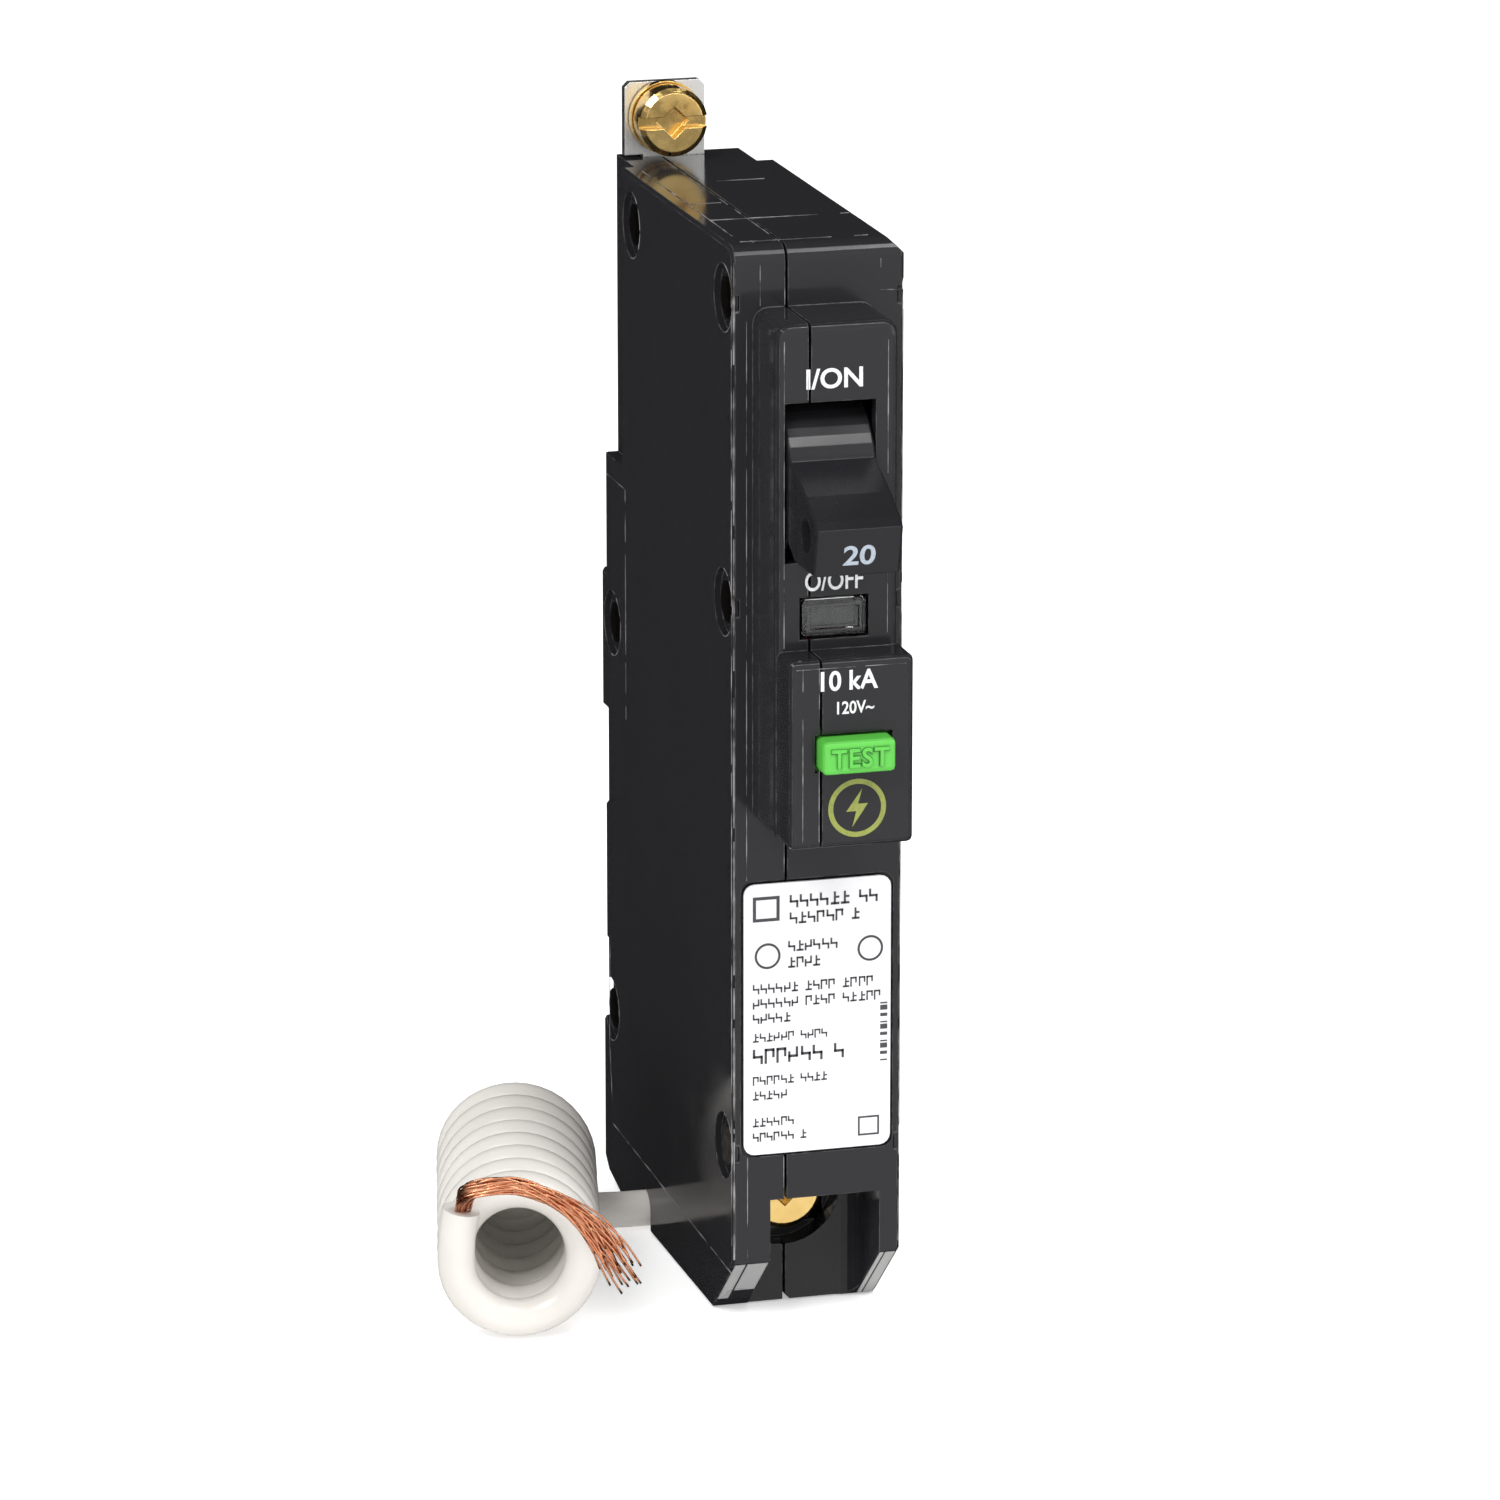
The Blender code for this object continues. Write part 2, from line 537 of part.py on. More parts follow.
def round_front(obj, radius, outer_side, top_corner):
    """Rounds a front block's upper outer corner, and then its front rim and lower outer corner."""
    bm = bmesh.new()
    bm.from_mesh(obj.data)
    ends = [[limit(v.co[axis] for v in bm.verts) for limit in (min, max)] for axis in range(3)]
    outer, seam = ends[0] if outer_side == "low" else reversed(ends[0])
    front, (bottom, top) = ends[1][0], ends[2]

    def lies_at(edge, axis, value):
        return all(abs(v.co[axis] - value) < 1e-6 for v in edge.verts)

    corner = [e for e in bm.edges if lies_at(e, 0, outer) and lies_at(e, 2, top)]
    bmesh.ops.bevel(bm, geom=corner, offset=top_corner * MM, segments=4, affect="EDGES", profile=0.5)
    rim = [e for e in bm.edges if lies_at(e, 1, front) and not lies_at(e, 0, seam)]
    rim += [e for e in bm.edges if lies_at(e, 0, outer) and lies_at(e, 2, bottom)]
    bmesh.ops.bevel(bm, geom=rim, offset=radius * MM, segments=3, affect="EDGES", profile=0.5)
    bm.to_mesh(obj.data)
    bm.free()


def make_case():
    """The two halves. Below the load screw, a tongue of the left one closes the pocket's back wall."""
    shared = case_cutters()
    tongue_back = POCKET_DEPTH + TONGUE_THICKNESS
    tongue = block("left_cover_tongue", (SEAM_X - 1.0, LUG_X - GAP / 2), (POCKET_DEPTH - 0.4, tongue_back),
                   (0.0, LOAD_SCREW_Z - 4.8), cutter=True)
    rim_outline = [*RIM_OUTLINE, (DEPTH + 1.0, RIM_OUTLINE[-1][1]), (DEPTH + 1.0, -1.0), (-1.0, -1.0)]
    rim = prism("cut_rim", rim_outline, (-1.0, RIM_DEPTH), cutter=True)
    seat = block("cut_tongue_seat", (SEAM_X - 1.0, LUG_X + GAP / 2), (POCKET_DEPTH - 1.0, tongue_back + GAP),
                 (-1.0, LOAD_SCREW_Z - 4.6), cutter=True)
    case_half("left_cover", (0.0, SEAM_X - GAP / 2), "low", shared, added=[tongue], removed=[rim])
    case_half("right_base", (SEAM_X + GAP / 2, WIDTH), "high", shared, removed=[seat])


def make_rivets():
    half = WIDTH / 2
    head = half - RIVET_RECESS_DEPTH + GAP
    profile = [(0.0, half - 0.1), (RIVET_HEAD_RADIUS - 0.9, half - 0.15), (RIVET_HEAD_RADIUS, half - 0.35),
               (RIVET_HEAD_RADIUS, head), (RIVET_SHANK_RADIUS, head)]
    profile += [(r, -h) for r, h in reversed(profile)]
    for number, (d, z) in enumerate(RIVETS, 1):
        turned(f"rivet_{number}", profile, "X", (half, d, z), dark_steel(), steps=16)


def make_label():
    outline = rounded((LABEL_LEFT, LABEL_BOTTOM), (LABEL_RIGHT, LABEL_TOP), LABEL_CORNER)
    paper = material("label_white", (0.85, 0.85, 0.84), 0.4)
    prism("label", outline, (-0.2, LABEL_THICKNESS - 0.2), paper, lies="front")


def make_line_terminal():
    """The flat strap that bolts to the panel's bus, its captive screw and the fixed contact under its jaw."""
    back = TAB_FRONT + TAB_THICKNESS
    stem = (TAB_LEFT + 2.1, TAB_RIGHT)
    jaw_base = CONTACT_Z + CONTACT_THICKNESS + 2 * GAP
    clipped = 0.6
    outline = [
        (TAB_LEFT, HEIGHT + GAP), (stem[0], HEIGHT + GAP), (stem[0], jaw_base + 0.2),
        (stem[1], jaw_base + 0.2), (TAB_RIGHT, TAB_TOP - clipped), (TAB_RIGHT - clipped, TAB_TOP),
        (TAB_LEFT + clipped, TAB_TOP), (TAB_LEFT, TAB_TOP - clipped),
    ]
    strap = prism("line_strap", outline, (TAB_FRONT, back), tin_plate(), lies="front")
    jaw = block("line_strap_jaw", (stem[0] + 0.2, stem[1] - 0.2), (CONTACT_D - 3.0, TAB_FRONT + 0.6),
                (jaw_base, jaw_base + TAB_THICKNESS), cutter=True)
    hole = rod("cut_line_screw", "Y", (LINE_SCREW_X, 0, LINE_SCREW_Z), LINE_HOLE_RADIUS,
               (TAB_FRONT - 1, back + 1), cutter=True)
    join(strap, jaw)
    cut(strap, hole)
    face = TAB_FRONT - GAP
    turned("line_washer", ring(LINE_HOLE_RADIUS, WASHER_RADIUS, WASHER_THICKNESS / 2), "Y",
           (LINE_SCREW_X, face - WASHER_THICKNESS / 2, LINE_SCREW_Z), brass())
    make_screw("line_screw", LINE_SCREW_X, LINE_SCREW_Z, LINE_HEAD_RADIUS, 3.2,
               face - WASHER_THICKNESS - GAP, back + 1.2)
    rod("fixed_contact", "Z", (MECH_X, CONTACT_D, 0), CONTACT_RADIUS,
        (CONTACT_Z + GAP, CONTACT_Z + GAP + CONTACT_THICKNESS), silver())


def ring(inner, outer, half):
    """A turned ring's profile, as (radius, height), between two radii."""
    return [(inner, half), (outer, half), (outer, -half), (inner, -half), (inner, half)]


def make_screw(name, x, z, radius, head_height, head_back, tip):
    """A screw along d with a domed head that a slot and a square recess cut, its head's back at head_back."""
    shank, length = SCREW_SHANK_RADIUS, tip - head_back
    profile = [
        (0.0, length), (shank - 0.4, length), (shank, length - 0.5), (shank, 0.0), (radius, 0.0),
        (radius, 0.5 - head_height), (radius - 0.6, -head_height), (0.0, -head_height),
    ]
    screw = turned(name, profile, "Y", (x, head_back, z), brass())
    front = head_back - head_height
    slot = block("cut_slot_" + name, (x - radius - 1, x + radius + 1), (front - 1.0, front + 1.1),
                 (z - SLOT_WIDTH / 2, z + SLOT_WIDTH / 2), cutter=True)
    square = block("cut_square_" + name, (-SQUARE_WIDTH / 2, SQUARE_WIDTH / 2), (-1.0, 1.7),
                   (-SQUARE_WIDTH / 2, SQUARE_WIDTH / 2), cutter=True)
    square.location = world(x, front + 0.35, z)
    square.rotation_euler.y = pi / 4
    cut(screw, slot, square)
    return screw


def make_handle():
    """The toggle: a drum about its pin with a lever that points down when the breaker is off."""
    pivot = (HANDLE_PIVOT_D, HANDLE_PIVOT_Z)
    xs = (HANDLE_X - HANDLE_WIDTH / 2, HANDLE_X + HANDLE_WIDTH / 2)
    black = material("handle_black", (0.015, 0.015, 0.016), 0.3)
    handle = prism("handle", arc(pivot, DRUM_RADIUS, 0, 345, 46), xs, black, origin=pivot)
    lever = prism("handle_lever", [(pivot[0] + d, pivot[1] + z) for d, z in LEVER_OUTLINE], xs, cutter=True)
    for obj in (handle, lever):
        soften(obj, 0.25, "low")
        soften(obj, 0.25, "high")
    bore = rod("cut_handle_bore", "X", (0, *pivot), PIN_RADIUS + RUNNING_CLEARANCE, (0.0, WIDTH), cutter=True)
    hole_centre = (0, pivot[0] + LEVER_HOLE[0], pivot[1] + LEVER_HOLE[1])
    hole = rod("cut_lever_hole", "X", hole_centre, LEVER_HOLE_RADIUS, (0.0, WIDTH), cutter=True, sides=20)
    join(handle, lever)
    cut(handle, bore, hole)
    rod("handle_pin", "X", (0, *pivot), PIN_RADIUS, (BOSS_LEFT + 0.7, BOSS_RIGHT - 0.7), steel())


def make_trip_indicator():
    clear = material("clear_lens", (0.8, 0.82, 0.84), 0.05)
    inset = 0.3
    front = -BOSS_PROUD - 0.3
    lens = block("trip_window", (TRIP_LEFT + inset, TRIP_RIGHT - inset), (front, front + 1.3),
                 (TRIP_BOTTOM + inset, TRIP_TOP - inset), clear, edge=0.3)
    dish = block("cut_lens_dish", (TRIP_LEFT + 1.1, TRIP_RIGHT - 1.1), (front - 1.0, front + 0.5),
                 (TRIP_BOTTOM + 1.1, TRIP_TOP - 1.1), cutter=True)
    cut(lens, dish)
    height = TRIP_TOP - TRIP_BOTTOM
    flag_d = WALL - BOSS_PROUD + 0.5
    red = material("flag_red", (0.6, 0.05, 0.03), 0.4)
    block("trip_flag", (TRIP_LEFT + 0.8, TRIP_RIGHT - 0.8), (flag_d, flag_d + 0.8),
          (TRIP_BOTTOM - height - 0.4, TRIP_BOTTOM - 0.4), red, edge=0.15)


def make_test_button():
    green = material("button_green", (0.06, 0.62, 0.08), 0.35)
    half_w, half_h = BUTTON_WIDTH / 2, BUTTON_HEIGHT / 2
    inner = -BLOCK_PROUD + WALL
    button = block("test_button", (BUTTON_X - half_w, BUTTON_X + half_w),
                   (-BLOCK_PROUD - BUTTON_PROUD, inner + 1.0), (BUTTON_Z - half_h, BUTTON_Z + half_h), green,
                   edge=0.5, steps=2)
    flange = block("test_button_flange", (BUTTON_X - half_w - 0.7, BUTTON_X + half_w + 0.7),
                   (inner + GAP, inner + 1.3), (BUTTON_Z - half_h - 0.8, BUTTON_Z + half_h + 0.8),
                   cutter=True)
    stem = rod("test_button_stem", "Y", (BUTTON_X, 0, BUTTON_Z), 1.0, (inner + 1.0, inner + 5.4),
               cutter=True, sides=16)
    join(button, flange, stem)
    leaf = inner + 7.4
    wire("test_spring", helix("Y", (BUTTON_X, 0, BUTTON_Z), 1.7, (inner + 1.9, leaf - 0.6), 4), 0.22, steel())
    outline = [
        (leaf, BUTTON_Z - 8.0), (leaf + 3.0, BUTTON_Z - 8.0), (leaf + 3.0, BUTTON_Z - 7.4),
        (leaf + 0.5, BUTTON_Z - 7.4), (leaf + 0.5, BUTTON_Z + 2.4), (leaf, BUTTON_Z + 2.4),
    ]
    prism("test_contact", outline, (BUTTON_X - 1.8, BUTTON_X + 1.8), brass())


def pin_span():
    """The two values of x between which a pivot pin lies, its ends in the seats of the two walls."""
    inset = WALL - PIN_SEAT + GAP
    return inset, WIDTH - inset


def make_contact_arm():
    """The copper blade: level when closed, and turned down about its pin at rest, when the breaker is off."""
    pivot = (ARM_PIVOT_D, ARM_PIVOT_Z)
    under = CONTACT_Z - CONTACT_THICKNESS - GAP
    xs = (MECH_X - 2.4, MECH_X + 2.4)
    outline = arc(pivot, 3.0, 110, 290, 8) + [(34.0, under - 2.8), (CONTACT_D + 2.4, under - 2.2),
                                             (CONTACT_D + 2.4, under), (34.0, under)]
    arm = prism("contact_arm", outline, xs, copper(), origin=pivot)
    bore = rod("cut_arm_bore", "X", (0, *pivot), PIN_RADIUS + RUNNING_CLEARANCE, (0.0, WIDTH), cutter=True)
    cut(arm, bore)
    tilt = bpy.data.objects.new("contact_arm_axis", None)
    parts.objects.link(tilt)
    tilt.location = world(0, *pivot)
    tilt.location.x = 0
    contact = rod("moving_contact", "Z", (MECH_X, CONTACT_D, 0), CONTACT_RADIUS,
                  (CONTACT_Z - CONTACT_THICKNESS, CONTACT_Z), silver())
    for piece in (arm, contact, bore):
        place = piece.location.copy()
        piece.parent = tilt
        piece.location = place - tilt.location
    tilt.rotation_euler.x = -radians(ARM_OPEN_DEG)
    rod("arm_pin", "X", (0, *pivot), PIN_RADIUS, pin_span(), steel())


def make_trip_mechanism():
    latch = [(31.0, 82.2), (32.6, 83.2), (32.6, 84.4), (28.0, 85.6), (20.0, 86.6)]
    cradle = prism("cradle", arc(CRADLE_PIVOT, 2.8, 90, 270, 8) + latch, (MECH_X - 1.4, MECH_X + 1.4),
                   steel(), origin=CRADLE_PIVOT)
    bore = rod("cut_cradle_bore", "X", (0, *CRADLE_PIVOT), PIN_RADIUS + RUNNING_CLEARANCE, (0.0, WIDTH),
               cutter=True)
    cut(cradle, bore)
    rod("cradle_pin", "X", (0, *CRADLE_PIVOT), PIN_RADIUS, pin_span(), steel())
    wire("toggle_spring", helix("Z", (MECH_X, 24.0, 0), 1.5, (87.6, 94.2), 6), 0.25, steel())
    hook = [(37.8, 66.0), (37.8, 80.0), (36.4, 82.0), (33.8, 82.0), (33.8, 80.8), (36.2, 80.8), (36.2, 66.0)]
    prism("armature", arc(ARMATURE_FOOT, 1.2, 180, 360, 6) + hook, (MECH_X - 3.5, MECH_X + 3.5), steel(),
          origin=ARMATURE_FOOT)
    channel = [(-4.2, 40.4), (-3.0, 40.4), (-3.0, 45.4), (3.0, 45.4), (3.0, 40.4), (4.2, 40.4), (4.2, 46.6),
               (-4.2, 46.6)]
    prism("magnet_yoke", [(MECH_X + x, d) for x, d in channel], (65.0, 77.0), steel(), lies="top")
    prism("bimetal", [(47.0, 60.5), (47.9, 60.5), (47.9, 82.5), (45.6, 84.2), (45.0, 83.6), (47.0, 82.0)],
          (MECH_X - 2.5, MECH_X + 2.5), material("bimetal", (0.55, 0.5, 0.42), 0.35, 1.0))
    turned("calibration_screw", [(0, 2.1), (1.6, 2.1), (1.6, 1.1), (1.0, 1.1), (1.0, -2.1), (0, -2.1)], "Y",
           (MECH_X, 50.5, 62.5), brass(), steps=16)
    route = [(34.6, 94.4), (35.0, 91.2), (37.8, 87.0), (41.2, 85.3), (44.2, 84.4)]
    wire("braid", smooth_path([(MECH_X, d, z) for d, z in route], 3), 0.6, copper())


def make_arc_chute():
    """Steel plates in a stack behind the blade's tip, notched where it passes, between two fibre sides."""
    back = DEPTH - LINE_NECK_STEP - WALL - 0.2
    half = [(-4.6, back), (-4.6, 37.2), (-3.3, 37.2), (-3.0, 41.6), (-2.0, 42.6)]
    outline = [(MECH_X + x, d) for x, d in half] + [(MECH_X - x, d) for x, d in reversed(half)]
    for number in range(5):
        z = 88.4 + 3.0 * number
        prism(f"arc_plate_{number + 1}", outline, (z, z + 1.0), steel(), lies="top")
    for side, sign in (("left", -1), ("right", 1)):
        inner = MECH_X + sign * 4.9
        outer = MECH_X + sign * 5.7
        xs = (min(inner, outer), max(inner, outer))
        block("arc_side_" + side, xs, (36.0, back), (87.0, 102.6), fibre())


def make_load_terminal():
    half = LUG_WIDTH / 2
    inner = (LUG_X - half + LUG_WALL, LUG_X + half - LUG_WALL)
    lug = block("load_lug", (LUG_X - half, LUG_X + half), (LUG_FRONT, LUG_BACK), (LUG_BOTTOM, LUG_TOP),
                tin_plate(), edge=0.3)
    through = block("cut_lug_wire", inner, (LUG_FRONT + LUG_WALL, LUG_BACK - LUG_WALL),
                    (LUG_BOTTOM - 1, LUG_TOP + 1), cutter=True)
    tapped = rod("cut_lug_tap", "Y", (LUG_X, 0, LOAD_SCREW_Z), SCREW_SHANK_RADIUS + 0.1,
                 (LUG_FRONT - 1, LUG_FRONT + 2), cutter=True)
    cut(lug, through, tapped)
    head_back = LUG_FRONT - LOAD_SCREW_TRAVEL - GAP
    tip = LUG_FRONT + LUG_WALL + 0.8
    make_screw("load_screw", LUG_X, LOAD_SCREW_Z, LOAD_HEAD_RADIUS, 2.2, head_back, tip)
    block("load_clamp", (inner[0] + GAP, inner[1] - GAP), (tip + GAP, tip + GAP + 0.8),
          (LUG_BOTTOM + 0.4, LUG_TOP - 0.8), brass(), edge=0.15)
    bar_d = LUG_BACK - 1.6
    outline = [
        (bar_d, LUG_TOP + GAP), (bar_d + 1.2, LUG_TOP + GAP), (bar_d + 1.2, 57.0), (46.2, 57.0), (48.2, 58.4),
        (48.2, 60.2), (46.7, 60.2), (46.7, 58.8), (45.6, 58.2), (bar_d, 58.2),
    ]
    prism("load_busbar", outline, (MECH_X - 1.6, MECH_X + 1.6), copper())


def make_electronics():
    board_x = 3.2
    block("circuit_board", (board_x - 0.7, board_x + 0.7), (27.0, 50.0), (24.0, 44.0),
          material("board_green", (0.03, 0.2, 0.07), 0.4))
    block("control_chip", (board_x + 1.0, board_x + 2.6), (30.0, 37.0), (27.0, 33.0),
          material("chip_black", (0.02, 0.02, 0.02), 0.5), edge=0.2)
    rod("capacitor", "X", (0, 44.0, 30.5), 4.2, (board_x + 1.0, board_x + 11.0),
        material("capacitor_blue", (0.03, 0.06, 0.2), 0.3))
    rod("varistor", "X", (0, 40.5, 40.0), 3.6, (board_x + 1.0, board_x + 3.8),
        material("varistor_blue", (0.02, 0.15, 0.4), 0.4))
    turned("sensor_core", ring(3.4, 6.4, 3.5), "Z", (MECH_X, LUG_BACK - 1.0, 34.0),
           material("winding", (0.5, 0.22, 0.1), 0.45), steps=24)
    frame_xs = (MECH_X - 5.2, MECH_X + 5.2)
    frame = block("solenoid_frame", frame_xs, (5.0, 18.2), (42.0, 52.4), steel(), edge=0.2)
    inside = block("cut_solenoid_frame", (frame_xs[0] - 1, frame_xs[1] + 1), (6.2, 17.0), (43.2, 53.0),
                   cutter=True)
    bore = rod("cut_solenoid_frame_bore", "Y", (MECH_X, 0, 47.8), 1.7, (4.0, 20.0), cutter=True)
    cut(frame, inside, bore)
    turned("solenoid_coil", ring(1.9, 4.3, 5.0), "Y", (MECH_X, 11.6, 47.8), copper(), steps=20)
    turned("solenoid_plunger", [(0, 5.2), (1.4, 5.2), (1.4, -5.0), (0, -5.0)], "Y", (MECH_X, 14.6, 47.8),
           steel(), steps=16)


def make_pigtail():
    """The neutral pigtail: its gland, the lead, the coil's outer shape and the bare strands at its end."""
    white = material("wire_white", (0.8, 0.78, 0.72), 0.45)
    z = WIRE_RADIUS + 0.1
    exit_x, exit_d = LEAD_ROUTE[-1]
    turned("pigtail_gland", [(0.0, 2.0), (2.3, 2.0), (2.3, -1.4), (2.0, -2.0), (0.0, -2.0)], "X",
           (exit_x + GAP + 2.0, exit_d, 2.5), material("gland_grey", (0.05, 0.05, 0.05), 0.6), steps=20)
    wire("pigtail_lead", smooth_path([(x, d, z) for x, d in LEAD_ROUTE], 2), WIRE_RADIUS, white)
    front, back = Vector(COIL_FRONT), Vector(COIL_BACK)
    along = (back - front).normalized()
    half = (back - front).length / 2 + WIRE_RADIUS
    inner, outer = COIL_MEAN_RADIUS - WIRE_RADIUS, COIL_MEAN_RADIUS + WIRE_RADIUS
    middle = (front + back) / 2
    coil = turned("pigtail_coil", ring(inner, outer, half), "Y", (*middle, outer + 0.1), white, steps=40)
    coil.rotation_euler.z = -atan2(along.x, along.y)
    start = front - along * (2 * WIRE_RADIUS - 0.45)
    across = Vector((along.y, -along.x))
    arch = [(*(start + across * s), outer + 0.1 + t) for s, t in STRAND_ARCH]
    wire("pigtail_strands", smooth_path(arch, 3), STRAND_RADIUS, copper())


def main():
    start_scene()
    make_case()
    make_rivets()
    make_label()
    make_line_terminal()
    make_handle()
    make_trip_indicator()
    make_test_button()
    make_contact_arm()
    make_trip_mechanism()
    make_arc_chute()
    make_load_terminal()
    make_electronics()
    make_pigtail()


main()
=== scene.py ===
"""The finished look of the one-pole breaker: materials, printed marks and the coiled pigtail."""

import json
from math import atan2, cos, degrees, pi, radians, sin

import bmesh
import bpy
from mathutils import Matrix, Vector

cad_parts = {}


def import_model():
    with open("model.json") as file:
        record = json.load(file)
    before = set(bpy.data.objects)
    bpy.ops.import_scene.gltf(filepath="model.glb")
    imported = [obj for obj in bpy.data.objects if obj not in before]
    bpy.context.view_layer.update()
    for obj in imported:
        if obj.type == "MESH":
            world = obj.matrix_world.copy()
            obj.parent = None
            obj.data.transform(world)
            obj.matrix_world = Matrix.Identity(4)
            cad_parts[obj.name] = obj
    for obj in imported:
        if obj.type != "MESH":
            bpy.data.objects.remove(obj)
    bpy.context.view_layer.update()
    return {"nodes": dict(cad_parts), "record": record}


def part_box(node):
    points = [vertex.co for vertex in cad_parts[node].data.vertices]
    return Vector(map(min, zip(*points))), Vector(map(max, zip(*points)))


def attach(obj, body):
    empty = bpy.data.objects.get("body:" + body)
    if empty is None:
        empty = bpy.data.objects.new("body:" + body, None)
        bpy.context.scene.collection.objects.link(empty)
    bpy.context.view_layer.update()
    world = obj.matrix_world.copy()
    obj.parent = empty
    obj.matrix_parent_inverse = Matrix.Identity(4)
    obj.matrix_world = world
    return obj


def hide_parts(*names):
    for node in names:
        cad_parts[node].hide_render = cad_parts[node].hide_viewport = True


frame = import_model()

MM = 0.001

# The case, as in the CAD model, in case millimetres: x from the left, d back from the front plane, z up
CASE_WIDTH, CASE_DEPTH, CASE_HEIGHT = 19.05, 55.8, 121.0
BOSS_FACE, BLOCK_FACE = -9.0, -13.5
SEAM = 5.8
RIVETS = ((41.5, 115.4), (3.6, 115.0), (3.6, 81.7), (50.6, 67.8), (3.6, 20.5), (51.9, 21.8))
RIVET_RIM_RADIUS = 3.75
LEVER_FACE_TOP, LEVER_FACE_BOTTOM = (-20.2, 94.7), (-18.9, 89.5)
FOOT_SLOPE_FRONT, FOOT_SLOPE_BACK = (0.0, 7.9), (9.2, 0.0)

# How thick printed ink stands, in millimetres
INK = 0.03

# The camera, in case millimetres, and the way it looks
CAMERA_PLACE = (-221.2, -794.9, 291.4)
CAMERA_AZIMUTH, CAMERA_ELEVATION = -15.683, 15.27
LENS_MM = 191.35
SKY_STRENGTH = 0.72

# The pigtail, as in the CAD model: case millimetres
WIRE_RADIUS = 2.05
COIL_MEAN_RADIUS = 7.0
COIL_TURNS, COIL_STEPS = 8.25, 330
COIL_FRONT, COIL_BACK = Vector((-22.8, 4.3)), Vector((-14.2, 40.6))
FLOOR_GAP = 0.1
LEAD_ROUTE = ((-5.1, 38.5), (-2.6, 38.1), (0.0, 38.0), (2.9, 38.0))

# The bare strands: how many, how thick, the turn between neighbours and their arch across the coil's front
STRANDS, STRAND_RADIUS = 38, 0.12
GOLDEN_ANGLE = 2.399963
STRAND_ARCH = ((-5.5, 9.0), (-1.1, 9.7), (3.0, 8.5), (6.4, 6.2), (9.0, 3.2), (11.4, -1.2))


def world(x, d, z):
    """The world point, in metres, of a point in case coordinates: x from the left, d back, z up."""
    return Vector((x - CASE_WIDTH / 2, d - CASE_DEPTH / 2, z)) * MM


# ---------------------------------------------------------------- camera, floor and light


def make_camera():
    """The camera at CAMERA_PLACE, from where it looks back, to the right and down by the two angles."""
    camera = bpy.data.objects.new("camera", bpy.data.cameras.new("camera"))
    bpy.context.scene.collection.objects.link(camera)
    camera.data.sensor_width = 36
    camera.data.lens = LENS_MM
    camera.data.clip_start, camera.data.clip_end = 0.01, 20
    a, e = radians(CAMERA_AZIMUTH), radians(CAMERA_ELEVATION)
    ahead = Vector((-sin(a) * cos(e), cos(a) * cos(e), -sin(e)))
    camera.location = world(*CAMERA_PLACE)
    camera.rotation_euler = ahead.to_track_quat("-Z", "Y").to_euler()
    bpy.context.scene.camera = camera


def area_light(name, place, target, size, watts):
    light = bpy.data.objects.new(name, bpy.data.lights.new(name, "AREA"))
    light.data.shape = "RECTANGLE"
    light.data.size, light.data.size_y = size
    light.data.energy = watts
    light.location = Vector(place)
    light.rotation_euler = (Vector(target) - Vector(place)).to_track_quat("-Z", "Y").to_euler()
    bpy.context.scene.collection.objects.link(light)


def make_stage():
    """A white floor that gloss doesn't see, and soft lights from both sides and above the front."""
    bm = bmesh.new()
    bmesh.ops.create_grid(bm, x_segments=2, y_segments=2, size=4.0)
    floor = bpy.data.objects.new("floor", mesh_from("floor", bm))
    floor.location.z = -0.2 * MM
    bpy.context.scene.collection.objects.link(floor)
    floor.data.materials.append(floor_finish())
    floor.visible_glossy = False
    make_sky()
    middle = (0, 0, 0.06)
    area_light("key", (-0.5, -0.5, 0.75), middle, (0.35, 0.35), 5.0)
    area_light("fill", (0.7, -0.6, 0.35), middle, (0.3, 0.8), 2.0)
    area_light("top", (0.24, -0.48, 0.82), middle, (0.5, 0.16), 3.0)
    bpy.context.scene.view_settings.view_transform = "Standard"


def make_sky():
    """A white studio, which gloss sees only in front of the object: its sides and top mirror the dark."""
    sky = bpy.data.worlds.new("studio")
    sky.use_nodes = True
    nodes, links = sky.node_tree.nodes, sky.node_tree.links
    white = nodes["Background"]
    white.inputs["Color"].default_value = (1, 1, 1, 1)
    white.inputs["Strength"].default_value = SKY_STRENGTH
    direction = nodes.new("ShaderNodeTexCoord")
    axes = nodes.new("ShaderNodeSeparateXYZ")
    links.new(direction.outputs["Generated"], axes.inputs["Vector"])
    front = nodes.new("ShaderNodeMapRange")
    front.inputs["From Min"].default_value, front.inputs["From Max"].default_value = -0.3, -0.85
    front.inputs["To Min"].default_value, front.inputs["To Max"].default_value = 0.02, 1.25
    links.new(axes.outputs["Y"], front.inputs["Value"])
    mirrored = nodes.new("ShaderNodeBackground")
    links.new(front.outputs["Result"], mirrored.inputs["Strength"])
    path = nodes.new("ShaderNodeLightPath")
    mix = nodes.new("ShaderNodeMixShader")
    links.new(path.outputs["Is Glossy Ray"], mix.inputs["Fac"])
    links.new(white.outputs["Background"], mix.inputs[1])
    links.new(mirrored.outputs["Background"], mix.inputs[2])
    links.new(mix.outputs["Shader"], nodes["World Output"].inputs["Surface"])
    bpy.context.scene.world = sky


# ---------------------------------------------------------------- materials


